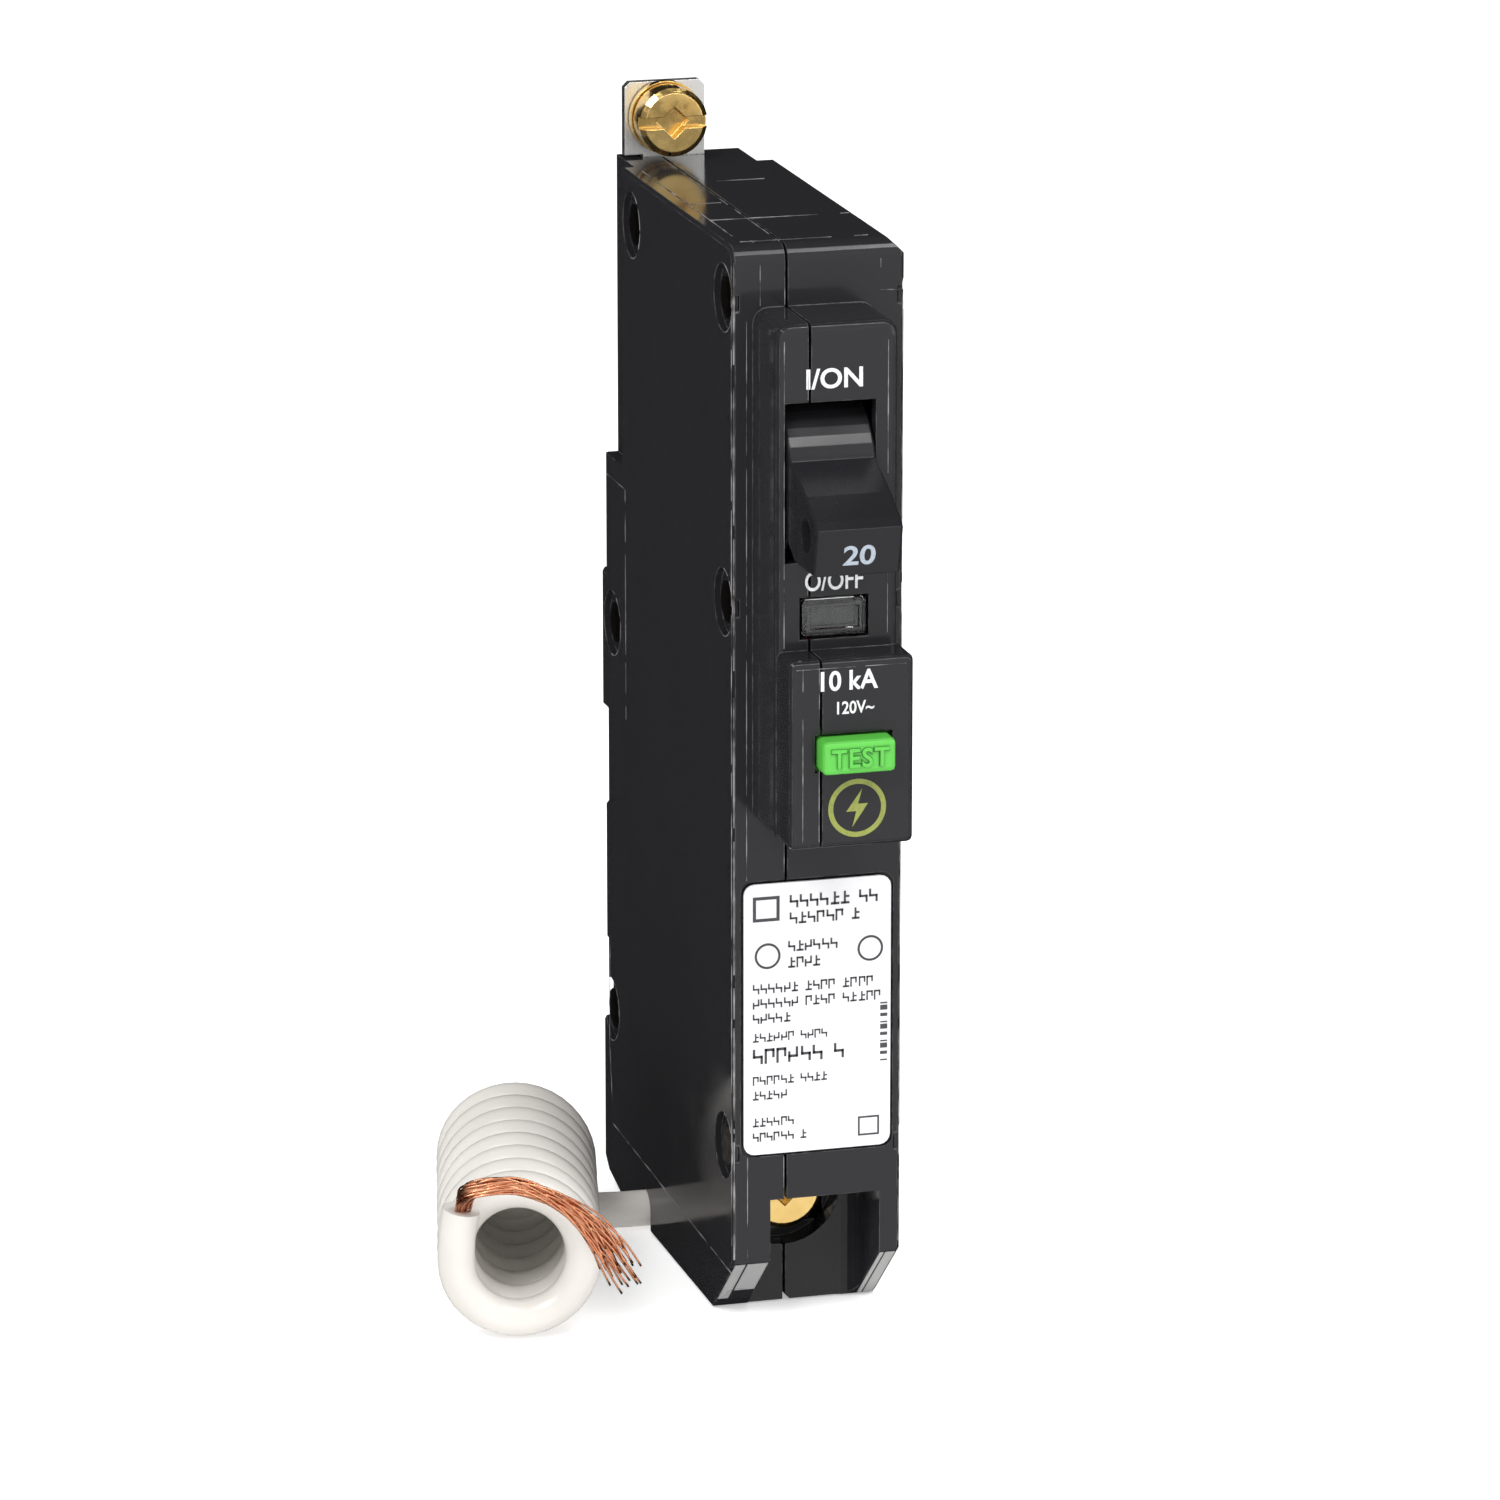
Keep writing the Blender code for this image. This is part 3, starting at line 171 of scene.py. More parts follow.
class Finish:
    """A node material built from a Principled shader, with helpers for its procedural detail."""

    def __init__(self, name, colour, roughness, metallic=0.0):
        self.material = bpy.data.materials.new(name)
        self.material.use_nodes = True
        self.tree = self.material.node_tree
        self.shader = self.tree.nodes["Principled BSDF"]
        self.shader.inputs["Base Color"].default_value = (*colour, 1)
        self.shader.inputs["Roughness"].default_value = roughness
        self.shader.inputs["Metallic"].default_value = metallic
        self.coordinates = self.add("ShaderNodeTexCoord").outputs["Object"]

    def add(self, kind, **values):
        node = self.tree.nodes.new(kind)
        for key, value in values.items():
            setattr(node, key, value)
        return node

    def join(self, source, target):
        self.tree.links.new(source, target)

    def stretched(self, scale, turn=(0, 0, 0)):
        """Object coordinates scaled along each axis, so that noise on them comes out long or short."""
        mapping = self.add("ShaderNodeMapping")
        mapping.inputs["Scale"].default_value = scale
        mapping.inputs["Rotation"].default_value = turn
        self.join(self.coordinates, mapping.inputs["Vector"])
        return mapping.outputs["Vector"]

    def noise(self, scale, detail=3.0, vector=None):
        node = self.add("ShaderNodeTexNoise")
        node.inputs["Scale"].default_value = scale
        node.inputs["Detail"].default_value = detail
        self.join(vector or self.coordinates, node.inputs["Vector"])
        return node.outputs["Fac"]

    def ramp(self, source, stops):
        """A colour that follows a value through stops of place and grey level or colour."""
        node = self.add("ShaderNodeValToRGB")
        elements = node.color_ramp.elements
        while len(elements) < len(stops):
            elements.new(0.5)
        for element, (place, value) in zip(elements, stops):
            element.position = place
            shade = value if isinstance(value, tuple) else (value, value, value)
            element.color = (*shade, 1)
        self.join(source, node.inputs["Fac"])
        return node.outputs["Color"]

    def vary_roughness(self, source, low, high):
        self.join(self.ramp(source, ((0.35, low), (0.65, high))), self.shader.inputs["Roughness"])

    def vary_colour(self, source, low, high, span=(0.35, 0.65)):
        self.join(self.ramp(source, ((span[0], low), (span[1], high))), self.shader.inputs["Base Color"])

    def bump(self, source, strength, distance, under=None):
        """Relief from a value, over the normal given as under; returns the normal it makes."""
        node = self.add("ShaderNodeBump")
        node.inputs["Strength"].default_value = strength
        node.inputs["Distance"].default_value = distance
        self.join(source, node.inputs["Height"])
        if under is not None:
            self.join(under, node.inputs["Normal"])
        self.join(node.outputs["Normal"], self.shader.inputs["Normal"])
        return node.outputs["Normal"]

    def round_edges(self, radius):
        """A normal that turns softly over sharp edges."""
        node = self.add("ShaderNodeBevel", samples=6)
        node.inputs["Radius"].default_value = radius
        return node.outputs["Normal"]

    def edge_mask(self, radius):
        """About 1 along sharp edges and 0 on flats, from how far a rounded normal turns from the true one."""
        rounded = self.add("ShaderNodeBevel", samples=6)
        rounded.inputs["Radius"].default_value = radius
        geometry = self.add("ShaderNodeNewGeometry")
        dot = self.add("ShaderNodeVectorMath", operation="DOT_PRODUCT")
        self.join(rounded.outputs["Normal"], dot.inputs[0])
        self.join(geometry.outputs["Normal"], dot.inputs[1])
        reach = self.add("ShaderNodeMapRange")
        reach.inputs["From Min"].default_value, reach.inputs["From Max"].default_value = 0.995, 0.93
        self.join(dot.outputs["Value"], reach.inputs["Value"])
        return reach.outputs["Result"]

    def multiply(self, a, b):
        """The product of a value with another value or a number."""
        node = self.add("ShaderNodeMath", operation="MULTIPLY")
        self.join(a, node.inputs[0])
        if isinstance(b, (int, float)):
            node.inputs[1].default_value = b
        else:
            self.join(b, node.inputs[1])
        return node.outputs["Value"]

    def mix(self, factor, low, high):
        """A colour that goes from low to high with a factor."""
        node = self.add("ShaderNodeMix", data_type="RGBA")
        self.join(factor, node.inputs["Factor"])
        for socket, value in ((node.inputs["A"], low), (node.inputs["B"], high)):
            if isinstance(value, tuple):
                socket.default_value = (*value, 1)
            else:
                self.join(value, socket)
        return node.outputs["Result"]


def floor_finish():
    """Matt white that glows a little, so that the picture's background stays white."""
    finish = Finish("floor_white", (0.93, 0.93, 0.93), 0.9)
    finish.vary_roughness(finish.noise(3.0), 0.85, 0.95)
    finish.shader.inputs["Emission Color"].default_value = (1, 1, 1, 1)
    finish.shader.inputs["Emission Strength"].default_value = 0.4
    return finish.material


def moulded_black(name, colour=(0.0165, 0.016, 0.018), roughness=0.1, flash=True):
    """Glossy black thermoset: fine scuffs in every direction, faint haze and grey flash along its edges."""
    finish = Finish(name, colour, roughness)
    finish.shader.inputs["Specular IOR Level"].default_value = 0.3
    haze = finish.noise(90.0, 5.0)
    scuffs = finish.noise(500.0, 2.0, finish.stretched((1.0, 0.06, 1.0), (0.5, 0.2, 0.0)))
    finish.vary_roughness(haze, roughness - 0.04, roughness + 0.08)
    normal = finish.bump(scuffs, 0.06, 0.00005, finish.round_edges(0.00018))
    finish.bump(haze, 0.03, 0.0003, normal)
    if flash:
        broken = finish.ramp(finish.noise(700.0, 4.0), ((0.42, 0.15), (0.6, 1.0)))
        grey = finish.multiply(finish.multiply(finish.edge_mask(0.00018), broken), 0.4)
        finish.join(finish.mix(grey, colour, (0.22, 0.22, 0.225)), finish.shader.inputs["Base Color"])
    return finish.material


def metal(name, colour, roughness, brushed=(1.0, 1.0, 1.0), tarnish=None):
    """A metal with fine tool marks along the direction that brushed stretches, and a little tarnish."""
    finish = Finish(name, colour, roughness, 1.0)
    marks = finish.noise(900.0, 3.0, finish.stretched(brushed))
    finish.vary_roughness(marks, max(0.04, roughness - 0.08), roughness + 0.1)
    finish.bump(marks, 0.08, 0.00005, finish.round_edges(0.00012))
    darker = tarnish or tuple(0.75 * c for c in colour)
    finish.vary_colour(finish.noise(160.0, 4.0), darker, colour, (0.3, 0.6))
    return finish.material


def soft_plastic(name, colour, roughness, grain=0.05, deeper=None):
    """A moulded plastic with slight orange peel and colour variation."""
    finish = Finish(name, colour, roughness)
    peel = finish.noise(1200.0, 2.0)
    finish.bump(peel, grain, 0.00004, finish.round_edges(0.0002))
    finish.vary_roughness(finish.noise(120.0), roughness - 0.05, roughness + 0.07)
    finish.vary_colour(finish.noise(60.0, 3.0), deeper or tuple(0.92 * c for c in colour), colour)
    return finish.material


def clear_lens():
    finish = Finish("lens_clear", (0.93, 0.95, 0.96), 0.04)
    finish.shader.inputs["Transmission Weight"].default_value = 1.0
    finish.shader.inputs["IOR"].default_value = 1.5
    finish.bump(finish.noise(250.0, 1.0), 0.02, 0.0001, finish.round_edges(0.00015))
    return finish.material


def label_paper():
    finish = Finish("label_paper", (0.86, 0.86, 0.86), 0.42)
    finish.shader.inputs["Specular IOR Level"].default_value = 0.3
    fibres = finish.noise(1500.0, 3.0)
    finish.bump(fibres, 0.06, 0.00003)
    finish.vary_colour(finish.noise(200.0, 4.0), (0.70, 0.695, 0.71), (0.76, 0.755, 0.77))
    return finish.material


def print_ink(name, colour):
    finish = Finish(name, colour, 0.5)
    speckle = finish.noise(2500.0, 2.0)
    finish.vary_colour(speckle, tuple(0.8 * c for c in colour), colour, (0.3, 0.55))
    return finish.material


def flash_finish():
    """Torn resin along the mould's parting lines: black, whitened in patches."""
    finish = Finish("flash_grey", (0.05, 0.05, 0.052), 0.55)
    finish.vary_colour(finish.noise(420.0, 5.0), (0.03, 0.03, 0.031), (0.26, 0.26, 0.265), (0.38, 0.62))
    return finish.material


def make_finishes():
    return {
        "case_black": moulded_black("moulded_black"),
        "handle_black": moulded_black("handle_satin", (0.014, 0.0135, 0.0155), 0.2, flash=False),
        "steel": metal("zinc_steel", (0.62, 0.62, 0.62), 0.32),
        "dark_steel": metal("blackened_steel", (0.05, 0.042, 0.035), 0.38),
        "brass": metal("yellow_brass", (0.95, 0.68, 0.26), 0.16, (1, 8, 1), (0.8, 0.5, 0.15)),
        "tin_plate": metal("tin_plating", (0.9, 0.9, 0.89), 0.34, (8, 1, 1), (0.78, 0.78, 0.77)),
        "copper": metal("bare_copper", (0.80, 0.36, 0.2), 0.28, (1, 1, 6), (0.6, 0.22, 0.12)),
        "silver": metal("silver_alloy", (0.85, 0.85, 0.84), 0.25),
        "fibre": soft_plastic("red_fibre", (0.42, 0.16, 0.08), 0.7, 0.2),
        "label_white": label_paper(),
        "clear_lens": clear_lens(),
        "flag_red": soft_plastic("flag_red", (0.6, 0.05, 0.03), 0.4),
        "button_green": soft_plastic("button_green", (0.09, 0.46, 0.055), 0.28, 0.04, (0.075, 0.39, 0.045)),
        "board_green": soft_plastic("solder_mask", (0.03, 0.2, 0.07), 0.4),
        "chip_black": soft_plastic("chip_epoxy", (0.02, 0.02, 0.02), 0.5),
        "capacitor_blue": soft_plastic("capacitor_sleeve", (0.03, 0.06, 0.2), 0.3),
        "varistor_blue": soft_plastic("varistor_dip", (0.02, 0.15, 0.4), 0.4),
        "winding": metal("enamelled_wire", (0.55, 0.22, 0.08), 0.35, (1, 1, 10)),
        "wire_white": soft_plastic("insulation_white", (0.67, 0.645, 0.61), 0.34, 0.04, (0.62, 0.595, 0.555)),
        "gland_grey": soft_plastic("grommet_black", (0.04, 0.04, 0.04), 0.6),
    }


def paint_frame(finishes):
    slots = {row["node"]: row["material_slot"] for row in frame["record"]["subparts"]}
    for name, obj in frame["nodes"].items():
        obj.data.materials.clear()
        obj.data.materials.append(finishes[slots[name]])


# ---------------------------------------------------------------- pieces


def add_piece(name, mesh, finish, body="case"):
    obj = bpy.data.objects.new(name, mesh)
    bpy.context.scene.collection.objects.link(obj)
    mesh.materials.clear()
    mesh.materials.append(finish)
    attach(obj, body)
    return obj


def mesh_from(name, bm):
    """The mesh of what a bmesh holds, which is freed."""
    mesh = bpy.data.meshes.new(name)
    bm.to_mesh(mesh)
    bm.free()
    return mesh


def curve_to_mesh(curve):
    """A curve's evaluated mesh, with its caps welded on."""
    obj = bpy.data.objects.new(curve.name, curve)
    bpy.context.scene.collection.objects.link(obj)
    bpy.context.view_layer.update()
    mesh = bpy.data.meshes.new_from_object(obj.evaluated_get(bpy.context.evaluated_depsgraph_get()))
    bpy.data.objects.remove(obj, do_unlink=True)
    bm = bmesh.new()
    bm.from_mesh(mesh)
    bmesh.ops.remove_doubles(bm, verts=bm.verts, dist=1e-7)
    bm.to_mesh(mesh)
    bm.free()
    return mesh


FRONT_TURN = Matrix.Rotation(pi / 2, 4, "X")


def text_mesh(words, height, width, thickness, bold=0.012, spacing=1.0):
    """Words as a thin solid in the XY plane, centred on the origin, sized in millimetres."""
    curve = bpy.data.curves.new("words", "FONT")
    curve.body = words
    curve.align_x, curve.align_y = "CENTER", "CENTER"
    curve.space_character = spacing
    curve.offset = bold
    curve.extrude = 0.5
    curve.resolution_u = 5
    mesh = curve_to_mesh(curve)
    ys = [v.co.y for v in mesh.vertices]
    xs = [v.co.x for v in mesh.vertices]
    size = (width / (max(xs) - min(xs)) * MM, height / (max(ys) - min(ys)) * MM, thickness * MM, 1)
    middle = Vector(((max(xs) + min(xs)) / 2, (max(ys) + min(ys)) / 2, 0))
    mesh.transform(Matrix.Diagonal(size) @ Matrix.Translation(-middle))
    return mesh


def front_print(name, mesh, place, finish, body="case", tilt=0.0):
    """Puts a flat mesh on the front at a case point, facing the person, tilted up by degrees."""
    mesh.transform(Matrix.Translation(world(*place)) @ Matrix.Rotation(radians(90 - tilt), 4, "X"))
    add_piece(name, mesh, finish, body)


def plate(outline, thickness, holes=()):
    """A thin flat solid from outlines in millimetres, in the XY plane."""
    curve = bpy.data.curves.new("plate", "CURVE")
    curve.dimensions = "2D"
    curve.fill_mode = "BOTH"
    curve.extrude = thickness / 2 * MM
    for loop in (outline, *holes):
        spline = curve.splines.new("POLY")
        spline.points.add(len(loop) - 1)
        for point, (x, y) in zip(spline.points, loop):
            point.co = (x * MM, y * MM, 0, 1)
        spline.use_cyclic_u = True
    return curve_to_mesh(curve)


def ring_of(radius):
    steps = 40
    return [(radius * cos(2 * pi * i / steps), radius * sin(2 * pi * i / steps)) for i in range(steps)]


def rectangle(x0, y0, x1, y1):
    return [(x0, y0), (x1, y0), (x1, y1), (x0, y1)]


def joined(meshes):
    """One mesh from several."""
    bm = bmesh.new()
    for mesh in meshes:
        bm.from_mesh(mesh)
    return mesh_from("joined", bm)


def empty_box(left, low, wide, tall, border):
    """A printed box with nothing in it, from its lower left corner, whose lines are as wide as border."""
    right, high = left + wide, low + tall
    hole = rectangle(left + border, low + border, right - border, high - border)
    return plate(rectangle(left, low, right, high), INK, [hole])


def make_marks(white, olive):
    """The white marks on the front, and a plain bolt-in-a-ring sign below the button."""
    boss, block = BOSS_FACE - INK / 2, BLOCK_FACE - INK / 2
    front_print("mark_on", text_mesh("I/ON", 2.2, 6.2, INK, 0.02), (8.7, boss, 108.4), white)
    front_print("mark_off", text_mesh("O/OFF", 2.1, 6.4, INK), (8.7, boss, 86.5), white)
    front_print("mark_interrupting", text_mesh("10 kA", 2.2, 6.3, INK, 0.02), (9.1, block, 76.7), white)
    front_print("mark_voltage", text_mesh("120V~", 1.4, 4.1, INK, 0.016), (9.8, block, 73.7), white)
    bolt = [(0.55, 2.1), (-1.2, -0.35), (-0.1, -0.35), (-0.55, -2.1), (1.2, 0.45), (0.1, 0.45)]
    sign = joined([plate(ring_of(3.2), INK, [ring_of(2.65)]), plate(bolt, INK)])
    front_print("mark_sign", sign, (10.0, block, 62.6), olive)


# The label's lines, as shares of its width where they start and end and of its height, and how tall they are
LABEL_ROWS = (
    (0.31, 0.93, 0.930, 1.45), (0.31, 0.82, 0.868, 1.3), (0.30, 0.70, 0.765, 1.2), (0.30, 0.52, 0.705, 1.2),
    (0.06, 0.90, 0.615, 1.1), (0.06, 0.94, 0.560, 1.1), (0.06, 0.33, 0.505, 1.1), (0.06, 0.58, 0.435, 1.0),
    (0.06, 0.66, 0.365, 1.7), (0.06, 0.62, 0.275, 1.0), (0.06, 0.30, 0.220, 1.0), (0.06, 0.34, 0.120, 1.0),
    (0.06, 0.44, 0.065, 1.0),
)


def make_label_print(ink):
    """Made-up glyphs, a column of ticks, empty boxes and rings where a rating label has its print."""
    low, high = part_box("label")
    width, height = (high.x - low.x) / MM, (high.z - low.z) / MM
    strokes = []
    for start, end, up, tall in LABEL_ROWS:
        for word_start, word_end in words_between(start * width, end * width, tall):
            strokes += word_strokes(word_start, word_end, up * height, tall)
    for step in range(10):
        tick = 9.6 + 0.72 * step
        strokes.append((0.93 * width, tick, 0.93 * width + 0.8, tick + 0.16 + 0.2 * (step % 3)))
    plates = [
        bars(strokes),
        empty_box(0.06 * width, 26.4, 3.0, 2.8, 0.35),
        empty_box(0.78 * width, 1.2, 2.4, 2.2, 0.2),
    ]
    for x in (0.16 * width, 0.86 * width):
        ring = plate(ring_of(1.45), INK, [ring_of(1.2)])
        ring.transform(Matrix.Translation((x * MM, 0.735 * height * MM, 0)))
        plates.append(ring)
    print_mesh = joined(plates)
    print_mesh.transform(Matrix.Translation((low.x, low.y - INK / 2 * MM, low.z)) @ FRONT_TURN)
    add_piece("label_print", print_mesh, ink)


# Three strokes each, as (left, low, right, high) shares of a glyph's box: none of them is a letter
GLYPHS = (
    ((0.0, 0.0, 0.2, 1.0), (0.0, 0.82, 0.85, 1.0), (0.65, 0.4, 0.85, 1.0)),
    ((0.0, 0.0, 0.85, 0.18), (0.3, 0.0, 0.5, 1.0), (0.5, 0.5, 0.85, 0.66)),
    ((0.0, 0.4, 0.85, 0.57), (0.0, 0.4, 0.2, 1.0), (0.65, 0.0, 0.85, 0.57)),
    ((0.0, 0.0, 0.2, 0.7), (0.65, 0.3, 0.85, 1.0), (0.0, 0.3, 0.85, 0.47)),
)


def word_strokes(start, end, middle, tall):
    """The strokes of a word of plain made-up glyphs, whose order follows a fixed rule."""
    pitch = 0.78 * tall
    strokes = []
    for cell in range(max(1, round((end - start) / pitch))):
        left = start + cell * pitch
        kind = int(7 * abs(sin(13.7 * left + 5.1 * middle))) % len(GLYPHS)
        low = middle - tall / 2
        for x0, y0, x1, y1 in GLYPHS[kind]:
            strokes.append((left + x0 * pitch, low + y0 * tall, left + x1 * pitch, low + y1 * tall))
    return strokes


def bars(boxes):
    """Thin solid bars from boxes of left, low, right and high, in the XY plane, in millimetres."""
    bm = bmesh.new()
    for x0, y0, x1, y1 in boxes:
        size = Matrix.Diagonal(((x1 - x0) * MM, (y1 - y0) * MM, INK * MM, 1))
        centre = Matrix.Translation(((x0 + x1) / 2 * MM, (y0 + y1) / 2 * MM, 0))
        bmesh.ops.create_cube(bm, size=1.0, matrix=centre @ size)
    return mesh_from("bars", bm)


def words_between(start, end, tall):
    """Splits a line into words, as where each starts and ends, by a fixed rule of uneven lengths."""
    lengths = (3.1, 2.0, 3.8, 1.4, 2.7)
    place, words = start, []
    while place < end - 0.4:
        stop = min(end, place + lengths[len(words) % len(lengths)] * tall * 0.9)
        words.append((place, stop))
        place = stop + 0.4 * tall
    return words


def make_button_letters(green, shade):
    """Raised letters on the button, each on a slightly wider dark root: painted shade along the raised
    letters' edges.
    """
    low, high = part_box("test_button")
    middle = (low + high) / 2
    # the second layer is painted shade: a darker green root, wider than the letters, put where their raised
    # edges fall into shade
    layers = (("button_letters", green, 0.02, 0.5), ("button_letter_painted_shade", shade, 0.05, 0.2))
    for name, finish, bold, proud in layers:
        letters = text_mesh("TEST", 2.1 + 2 * bold, 6.3 + 2 * bold, proud, bold, 1.12)
        letters.transform(Matrix.Translation((middle.x, low.y, middle.z)) @ FRONT_TURN)
        add_piece(name, letters, finish, "test_button")


def make_handle_number(ink):
    """The rating just below the middle of the lever's front face, tilted down as that face is."""
    (top_d, top_z), (low_d, low_z) = LEVER_FACE_TOP, LEVER_FACE_BOTTOM
    lean = degrees(atan2(low_d - top_d, top_z - low_z))
    down = 0.57
    place = (8.4, top_d + down * (low_d - top_d) - INK / 2, top_z + down * (low_z - top_z))
    front_print("handle_number", text_mesh("20", 2.3, 3.5, INK, 0.02), place, ink, "handle", -lean)


# ---------------------------------------------------------------- moulding flash

FRONT, LEFT, TOP = Vector((0, -1, 0)), Vector((-1, 0, 0)), Vector((0, 0, 1))


def flash_lines():
    """Each line of flash, as the way its surface faces, its width and its case points."""
    height = CASE_HEIGHT
    lines = [
        (FRONT, 0.3, [(0.2, 0, 8.4), (0.2, 0, 119.4)]),
        (FRONT, 0.16, [(18.85, 0, 9.0), (18.85, 0, 115.5), (16.4, 0, 115.6), (16.4, 0, 119.0)]),
        (FRONT, 0.16, [(3.1, 0, 114.6), (3.1, 0, 119.0)]),
        (FRONT, 0.14, [(SEAM, 0, 114.6), (SEAM, 0, 119.0)]),
        (FRONT, 0.14, [(1.7, 0, 8.4), (1.7, 0, 20.0)]),
        (FRONT, 0.12, [(SEAM, 0, 15.2), (SEAM, 0, 19.8)]),
        (FRONT, 0.12, [(SEAM, 0, 51.4), (SEAM, 0, 58.0)]),
        (FRONT, 0.14, [(1.6, 0, 51.4), (1.6, 0, 113.0)]),
        (FRONT, 0.16, [(3.2, BOSS_FACE, 79.4), (3.2, BOSS_FACE, 112.6)]),
        (FRONT, 0.13, [(SEAM, BOSS_FACE, 106.2), (SEAM, BOSS_FACE, 113.4)]),
        (FRONT, 0.13, [(SEAM, BOSS_FACE, 85.0), (SEAM, BOSS_FACE, 88.3)]),
        (FRONT, 0.16, [(14.6, BOSS_FACE, 79.4), (14.6, BOSS_FACE, 113.2)]),
        (FRONT, 0.14, [(4.0, BLOCK_FACE, 59.2), (4.0, BLOCK_FACE, 78.2)]),
        (FRONT, 0.14, [(SEAM, BLOCK_FACE, 59.2), (SEAM, BLOCK_FACE, 78.2)]),
        (FRONT, 0.14, [(3.3, BLOCK_FACE, 78.1), (15.4, BLOCK_FACE, 78.1)]),
        (TOP, 0.2, [(1.7, 43.0, height), (1.7, 5.0, height), (3.0, 3.2, height), (3.0, 2.2, height)]),
        (TOP, 0.15, [(SEAM, 2.2, height), (SEAM, 44.0, height)]),
        (TOP, 0.13, [(7.2, 35.5, height), (13.6, 35.5, height)]),
        (TOP, 0.15, [(2.0, 23.8, height), (5.4, 23.8, height)]),
        (TOP, 0.16, [(1.7, 14.8, height), (17.2, 14.8, height)]),
        (TOP, 0.16, [(1.7, 2.9, height), (15.8, 2.9, height)]),
        (LEFT, 0.14, [(0, 0.6, 6.75), (0, 51.1, 8.1), (0, 52.6, 17.6), (0, 52.2, 30.0)]),
        (LEFT, 0.12, [(0, 44.6, 58.0), (0, 44.6, 84.6), (0, 52.6, 84.6)]),
        (LEFT, 0.22, [(0, 0.25, 9.0), (0, 0.25, 119.0)]),
    ]
    angles = [radians(angle) for angle in range(95, 276, 12)]
    for d, z in RIVETS:
        rim = [(0, d + RIVET_RIM_RADIUS * cos(a), z + RIVET_RIM_RADIUS * sin(a)) for a in angles]
        lines.append((LEFT, 0.16, rim))
    return lines


def recess_lips():
    """The thin walls that close the front of the rivet recesses beside the front's two long edges."""
    bm = bmesh.new()
    size = Matrix.Diagonal((0.5 * MM, 0.45 * MM, 3.6 * MM, 1))
    for d, z in RIVETS:
        if d > RIVET_RIM_RADIUS:
            continue
        for x in (0.45, CASE_WIDTH - 0.45):
            bmesh.ops.create_cube(bm, size=1.0, matrix=Matrix.Translation(world(x, 0.27, z)) @ size)
    bmesh.ops.bevel(bm, geom=bm.edges[:], offset=0.06 * MM, segments=2, affect="EDGES", profile=0.5)
    return mesh_from("recess_lips", bm)


def foot_painted_reflection():
    """Pale grey strips on the foot's slope, left and right of the terminal pocket: a painted reflection of
    the white floor.
    """
    start = world(0, *FOOT_SLOPE_FRONT)
    along = world(0, *FOOT_SLOPE_BACK) - start
    length = along.length
    along.normalize()
    sideways = Vector((1, 0, 0))
    outward = along.cross(sideways)
    turn = Matrix((sideways, along, outward)).transposed().to_4x4()
    bm = bmesh.new()
    for x0, x1, share in ((0.4, 1.6, 0.8), (1.8, 4.15, 0.62), (16.85, 17.35, 0.96), (17.5, 18.65, 0.96)):
        middle = start + along * length * (0.03 + share / 2)
        middle += sideways * (x0 + x1) / 2 * MM + outward * 0.01 * MM
        size = Matrix.Diagonal(((x1 - x0) * MM, length * share, 0.04 * MM, 1))
        bmesh.ops.create_cube(bm, size=1.0, matrix=Matrix.Translation(middle) @ turn @ size)
    return mesh_from("foot_painted_reflection", bm)


def roughly(place, seed):
    """A fixed uneven value between 0 and 1 that changes along a line of flash."""
    slow = 0.28 * sin(0.37 * place + seed) + 0.14 * sin(1.13 * place + 2.1 * seed)
    return 0.5 + slow + 0.08 * sin(3.9 * place + seed) + 0.05 * sin(9.7 * place)


# Flash, in millimetres: between two cuts of a line, into the surface and out of it; and the break's threshold
FLASH_STEP, FLASH_SUNK, FLASH_PROUD = 0.5, 0.02, 0.04
FLASH_BREAK = 0.17


def flash_mesh():
    """Every line of flash as thin ridges of uneven width, broken where they would be faintest."""
    bm = bmesh.new()
    for seed, (facing, width, points) in enumerate(flash_lines()):
        for a, b in zip(points, points[1:]):
            start, end = world(*a), world(*b)
            along = (end - start).normalized()
            across = along.cross(facing)
            count = max(2, round((end - start).length / MM / FLASH_STEP))
            rings = []
            for i in range(count + 1):
                strength = roughly(i * FLASH_STEP, seed + 1.7 * points.index(a))
                if strength < FLASH_BREAK:
                    fill_strip(bm, rings)
                    rings = []
                    continue
                centre = start.lerp(end, i / count)
                half = across * width * (0.15 + 0.35 * strength) * MM
                low = centre - facing * FLASH_SUNK * MM
                high = centre + facing * FLASH_PROUD * (0.5 + strength) * MM
                corners = (low - half, low + half, high + half * 0.6, high - half * 0.6)
                rings.append([bm.verts.new(corner) for corner in corners])
            fill_strip(bm, rings)
    bmesh.ops.delete(bm, geom=[v for v in bm.verts if not v.link_faces], context="VERTS")
    bmesh.ops.recalc_face_normals(bm, faces=bm.faces)
    return mesh_from("flash", bm)


def fill_strip(bm, rings):
    """Closes a run of four-point rings into one solid."""
    if len(rings) < 2:
        return
    for one, other in zip(rings, rings[1:]):
        for i in range(4):
            bm.faces.new((one[i], one[(i + 1) % 4], other[(i + 1) % 4], other[i]))
    bm.faces.new(rings[0][::-1])
    bm.faces.new(rings[-1])


# ---------------------------------------------------------------- pigtail


def helix_frame():
    """The coil's axis from back to front, the level direction across it, and the axis's height."""
    along = (COIL_FRONT - COIL_BACK).normalized()
    across = Vector((-along.y, along.x))
    return along, across, COIL_MEAN_RADIUS + WIRE_RADIUS + FLOOR_GAP


def ring_point(centre, across, height, reach, lift):
    """The case point that lies out from a point of the coil's axis, sideways by reach and up by lift."""
    place = centre + across * reach
    return (place.x, place.y, height + lift)


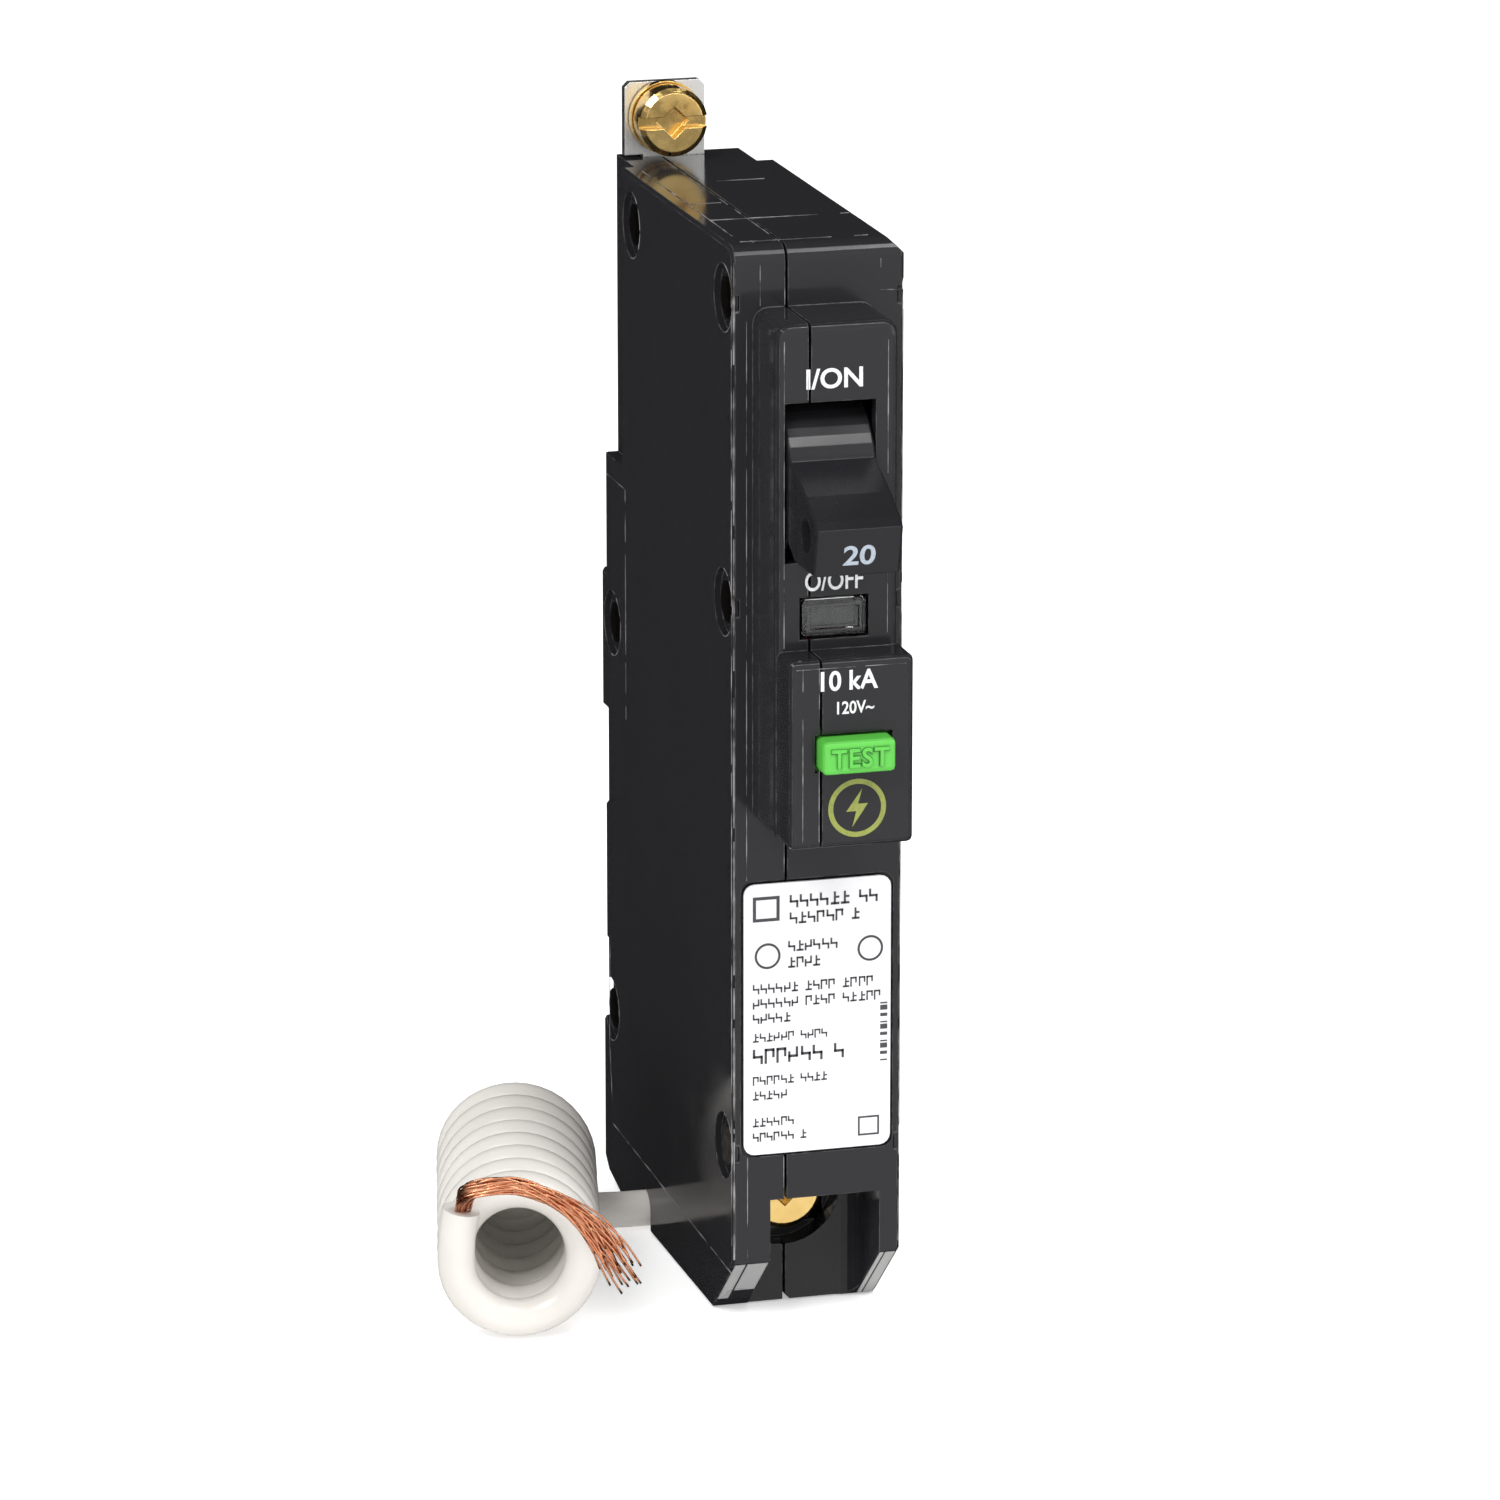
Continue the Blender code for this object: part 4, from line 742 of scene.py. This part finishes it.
def pigtail_points():
    """Case points from the gland along the lead, round the coil from back to front and up to the cut end."""
    along, across, height = helix_frame()
    lead = catmull([(x, d, WIRE_RADIUS + FLOOR_GAP) for x, d in reversed(LEAD_ROUTE)], 5)
    length = (COIL_FRONT - COIL_BACK).length
    coil = []
    for step in range(COIL_STEPS + 1):
        angle = -pi / 2 - 2 * pi * COIL_TURNS * step / COIL_STEPS
        centre = COIL_BACK + along * (length * step / COIL_STEPS)
        reach, lift = COIL_MEAN_RADIUS * cos(angle), COIL_MEAN_RADIUS * sin(angle)
        coil.append(ring_point(centre, across, height, reach, lift))
    joint = catmull([lead[-2], lead[-1], coil[0], coil[2]], 6)[6:13]
    end = [ring_point(COIL_FRONT + along * 0.1 * i, across, height, -COIL_MEAN_RADIUS + 0.04 * i * i, 1.5 * i)
           for i in range(1, 5)]
    return lead[:-1] + joint + coil[1:] + end


def catmull(points, per_span):
    """A smooth path through points, by Catmull-Rom splines with per_span steps between two of them."""
    ends = [2 * Vector(points[0]) - Vector(points[1])]
    ends += [Vector(p) for p in points] + [2 * Vector(points[-1]) - Vector(points[-2])]
    path = []
    for a, b, c, e in zip(ends, ends[1:], ends[2:], ends[3:]):
        for step in range(per_span):
            t = step / per_span
            bend = (2 * a - 5 * b + 4 * c - e) * t * t + (3 * b - a - 3 * c + e) * t ** 3
            path.append(tuple(0.5 * (2 * b + (c - a) * t + bend)))
    path.append(tuple(points[-1]))
    return path


def spline_curve(name, paths, radius, sides):
    """Round wires along paths of case points, closed at both ends."""
    curve = bpy.data.curves.new(name, "CURVE")
    curve.dimensions = "3D"
    curve.bevel_depth = radius * MM
    curve.bevel_resolution = sides
    curve.use_fill_caps = True
    for path in paths:
        spline = curve.splines.new("POLY")
        spline.points.add(len(path) - 1)
        for point, place in zip(spline.points, path):
            point.co = (*world(*place), 1)
        spline.use_smooth = True
    return curve


def make_pigtail(white, copper):
    """The white wire with its bare strands, which takes the place of the CAD's lead, coil and strands."""
    path = pigtail_points()
    wire = bpy.data.objects.new("pigtail_wire", spline_curve("pigtail_wire", [path], WIRE_RADIUS, 6))
    bpy.context.scene.collection.objects.link(wire)
    wire.data.materials.append(white)
    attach(wire, "case")
    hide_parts("pigtail_lead", "pigtail_coil")
    strands = make_strands(path[-1], copper)


def make_strands(start, copper):
    """Fine bare strands that leave the cut end together, arch over the coil's front and fan out."""
    along, across, height = helix_frame()
    front = COIL_FRONT + along * (2 * WIRE_RADIUS - 0.45)
    spine = [Vector(start)]
    spine += [Vector(ring_point(front, across, height, s, t)) for s, t in STRAND_ARCH]
    centre = catmull(spine, 6)
    paths = []
    for strand in range(STRANDS):
        turn = strand * GOLDEN_ANGLE
        reach = 1.35 * ((strand + 0.5) / STRANDS) ** 0.5
        trim = int(5 * (0.5 + 0.5 * sin(strand * 12.9)))
        path = []
        for step, place in enumerate(centre[:len(centre) - trim]):
            share = step / (len(centre) - 1)
            spread = 0.9 + 0.25 * sin(3 * share + strand) + 1.3 * max(0.0, share - 0.6)
            twist = turn + 2.2 * share
            side = Vector((across.x, across.y, 0)) * cos(twist) * reach * spread
            lift = Vector((0, 0, 1)) * sin(twist) * reach * spread * 0.75
            deep = Vector((along.x, along.y, 0)) * sin(twist * 1.3 + strand) * reach * 0.6 * share
            path.append(tuple(Vector(place) + side * (0.75 + 0.4 * share) + lift + deep))
        paths.append(path)
    mesh = curve_to_mesh(spline_curve("strands", paths, STRAND_RADIUS, 1))
    piece = add_piece("copper_strands", mesh, copper)
    for polygon in mesh.polygons:
        polygon.use_smooth = True
    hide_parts("pigtail_strands")
    return piece


# ---------------------------------------------------------------- build

make_camera()
finishes = make_finishes()
make_pigtail(finishes["wire_white"], finishes["copper"])
make_stage()
paint_frame(finishes)
make_marks(print_ink("ink_white", (0.7, 0.71, 0.73)), print_ink("ink_olive", (0.24, 0.27, 0.05)))
make_label_print(print_ink("ink_dark", (0.05, 0.05, 0.055)))
# button_shade is painted shade for the dark roots round the button's letters
make_button_letters(finishes["button_green"], print_ink("button_shade", (0.01, 0.16, 0.012)))
add_piece("moulding_flash", flash_mesh(), flash_finish())
add_piece("recess_lips", recess_lips(), finishes["case_black"])
# pale grey paint on the foot's slope: a painted reflection of the floor, which gloss doesn't see
foot_reflection_grey = soft_plastic("foot_painted_reflection_grey", (0.42, 0.42, 0.41), 0.3, 0.04, (0.3, 0.3, 0.3))
add_piece("foot_painted_reflection", foot_painted_reflection(), foot_reflection_grey)
make_handle_number(print_ink("ink_blue_grey", (0.34, 0.39, 0.45)))
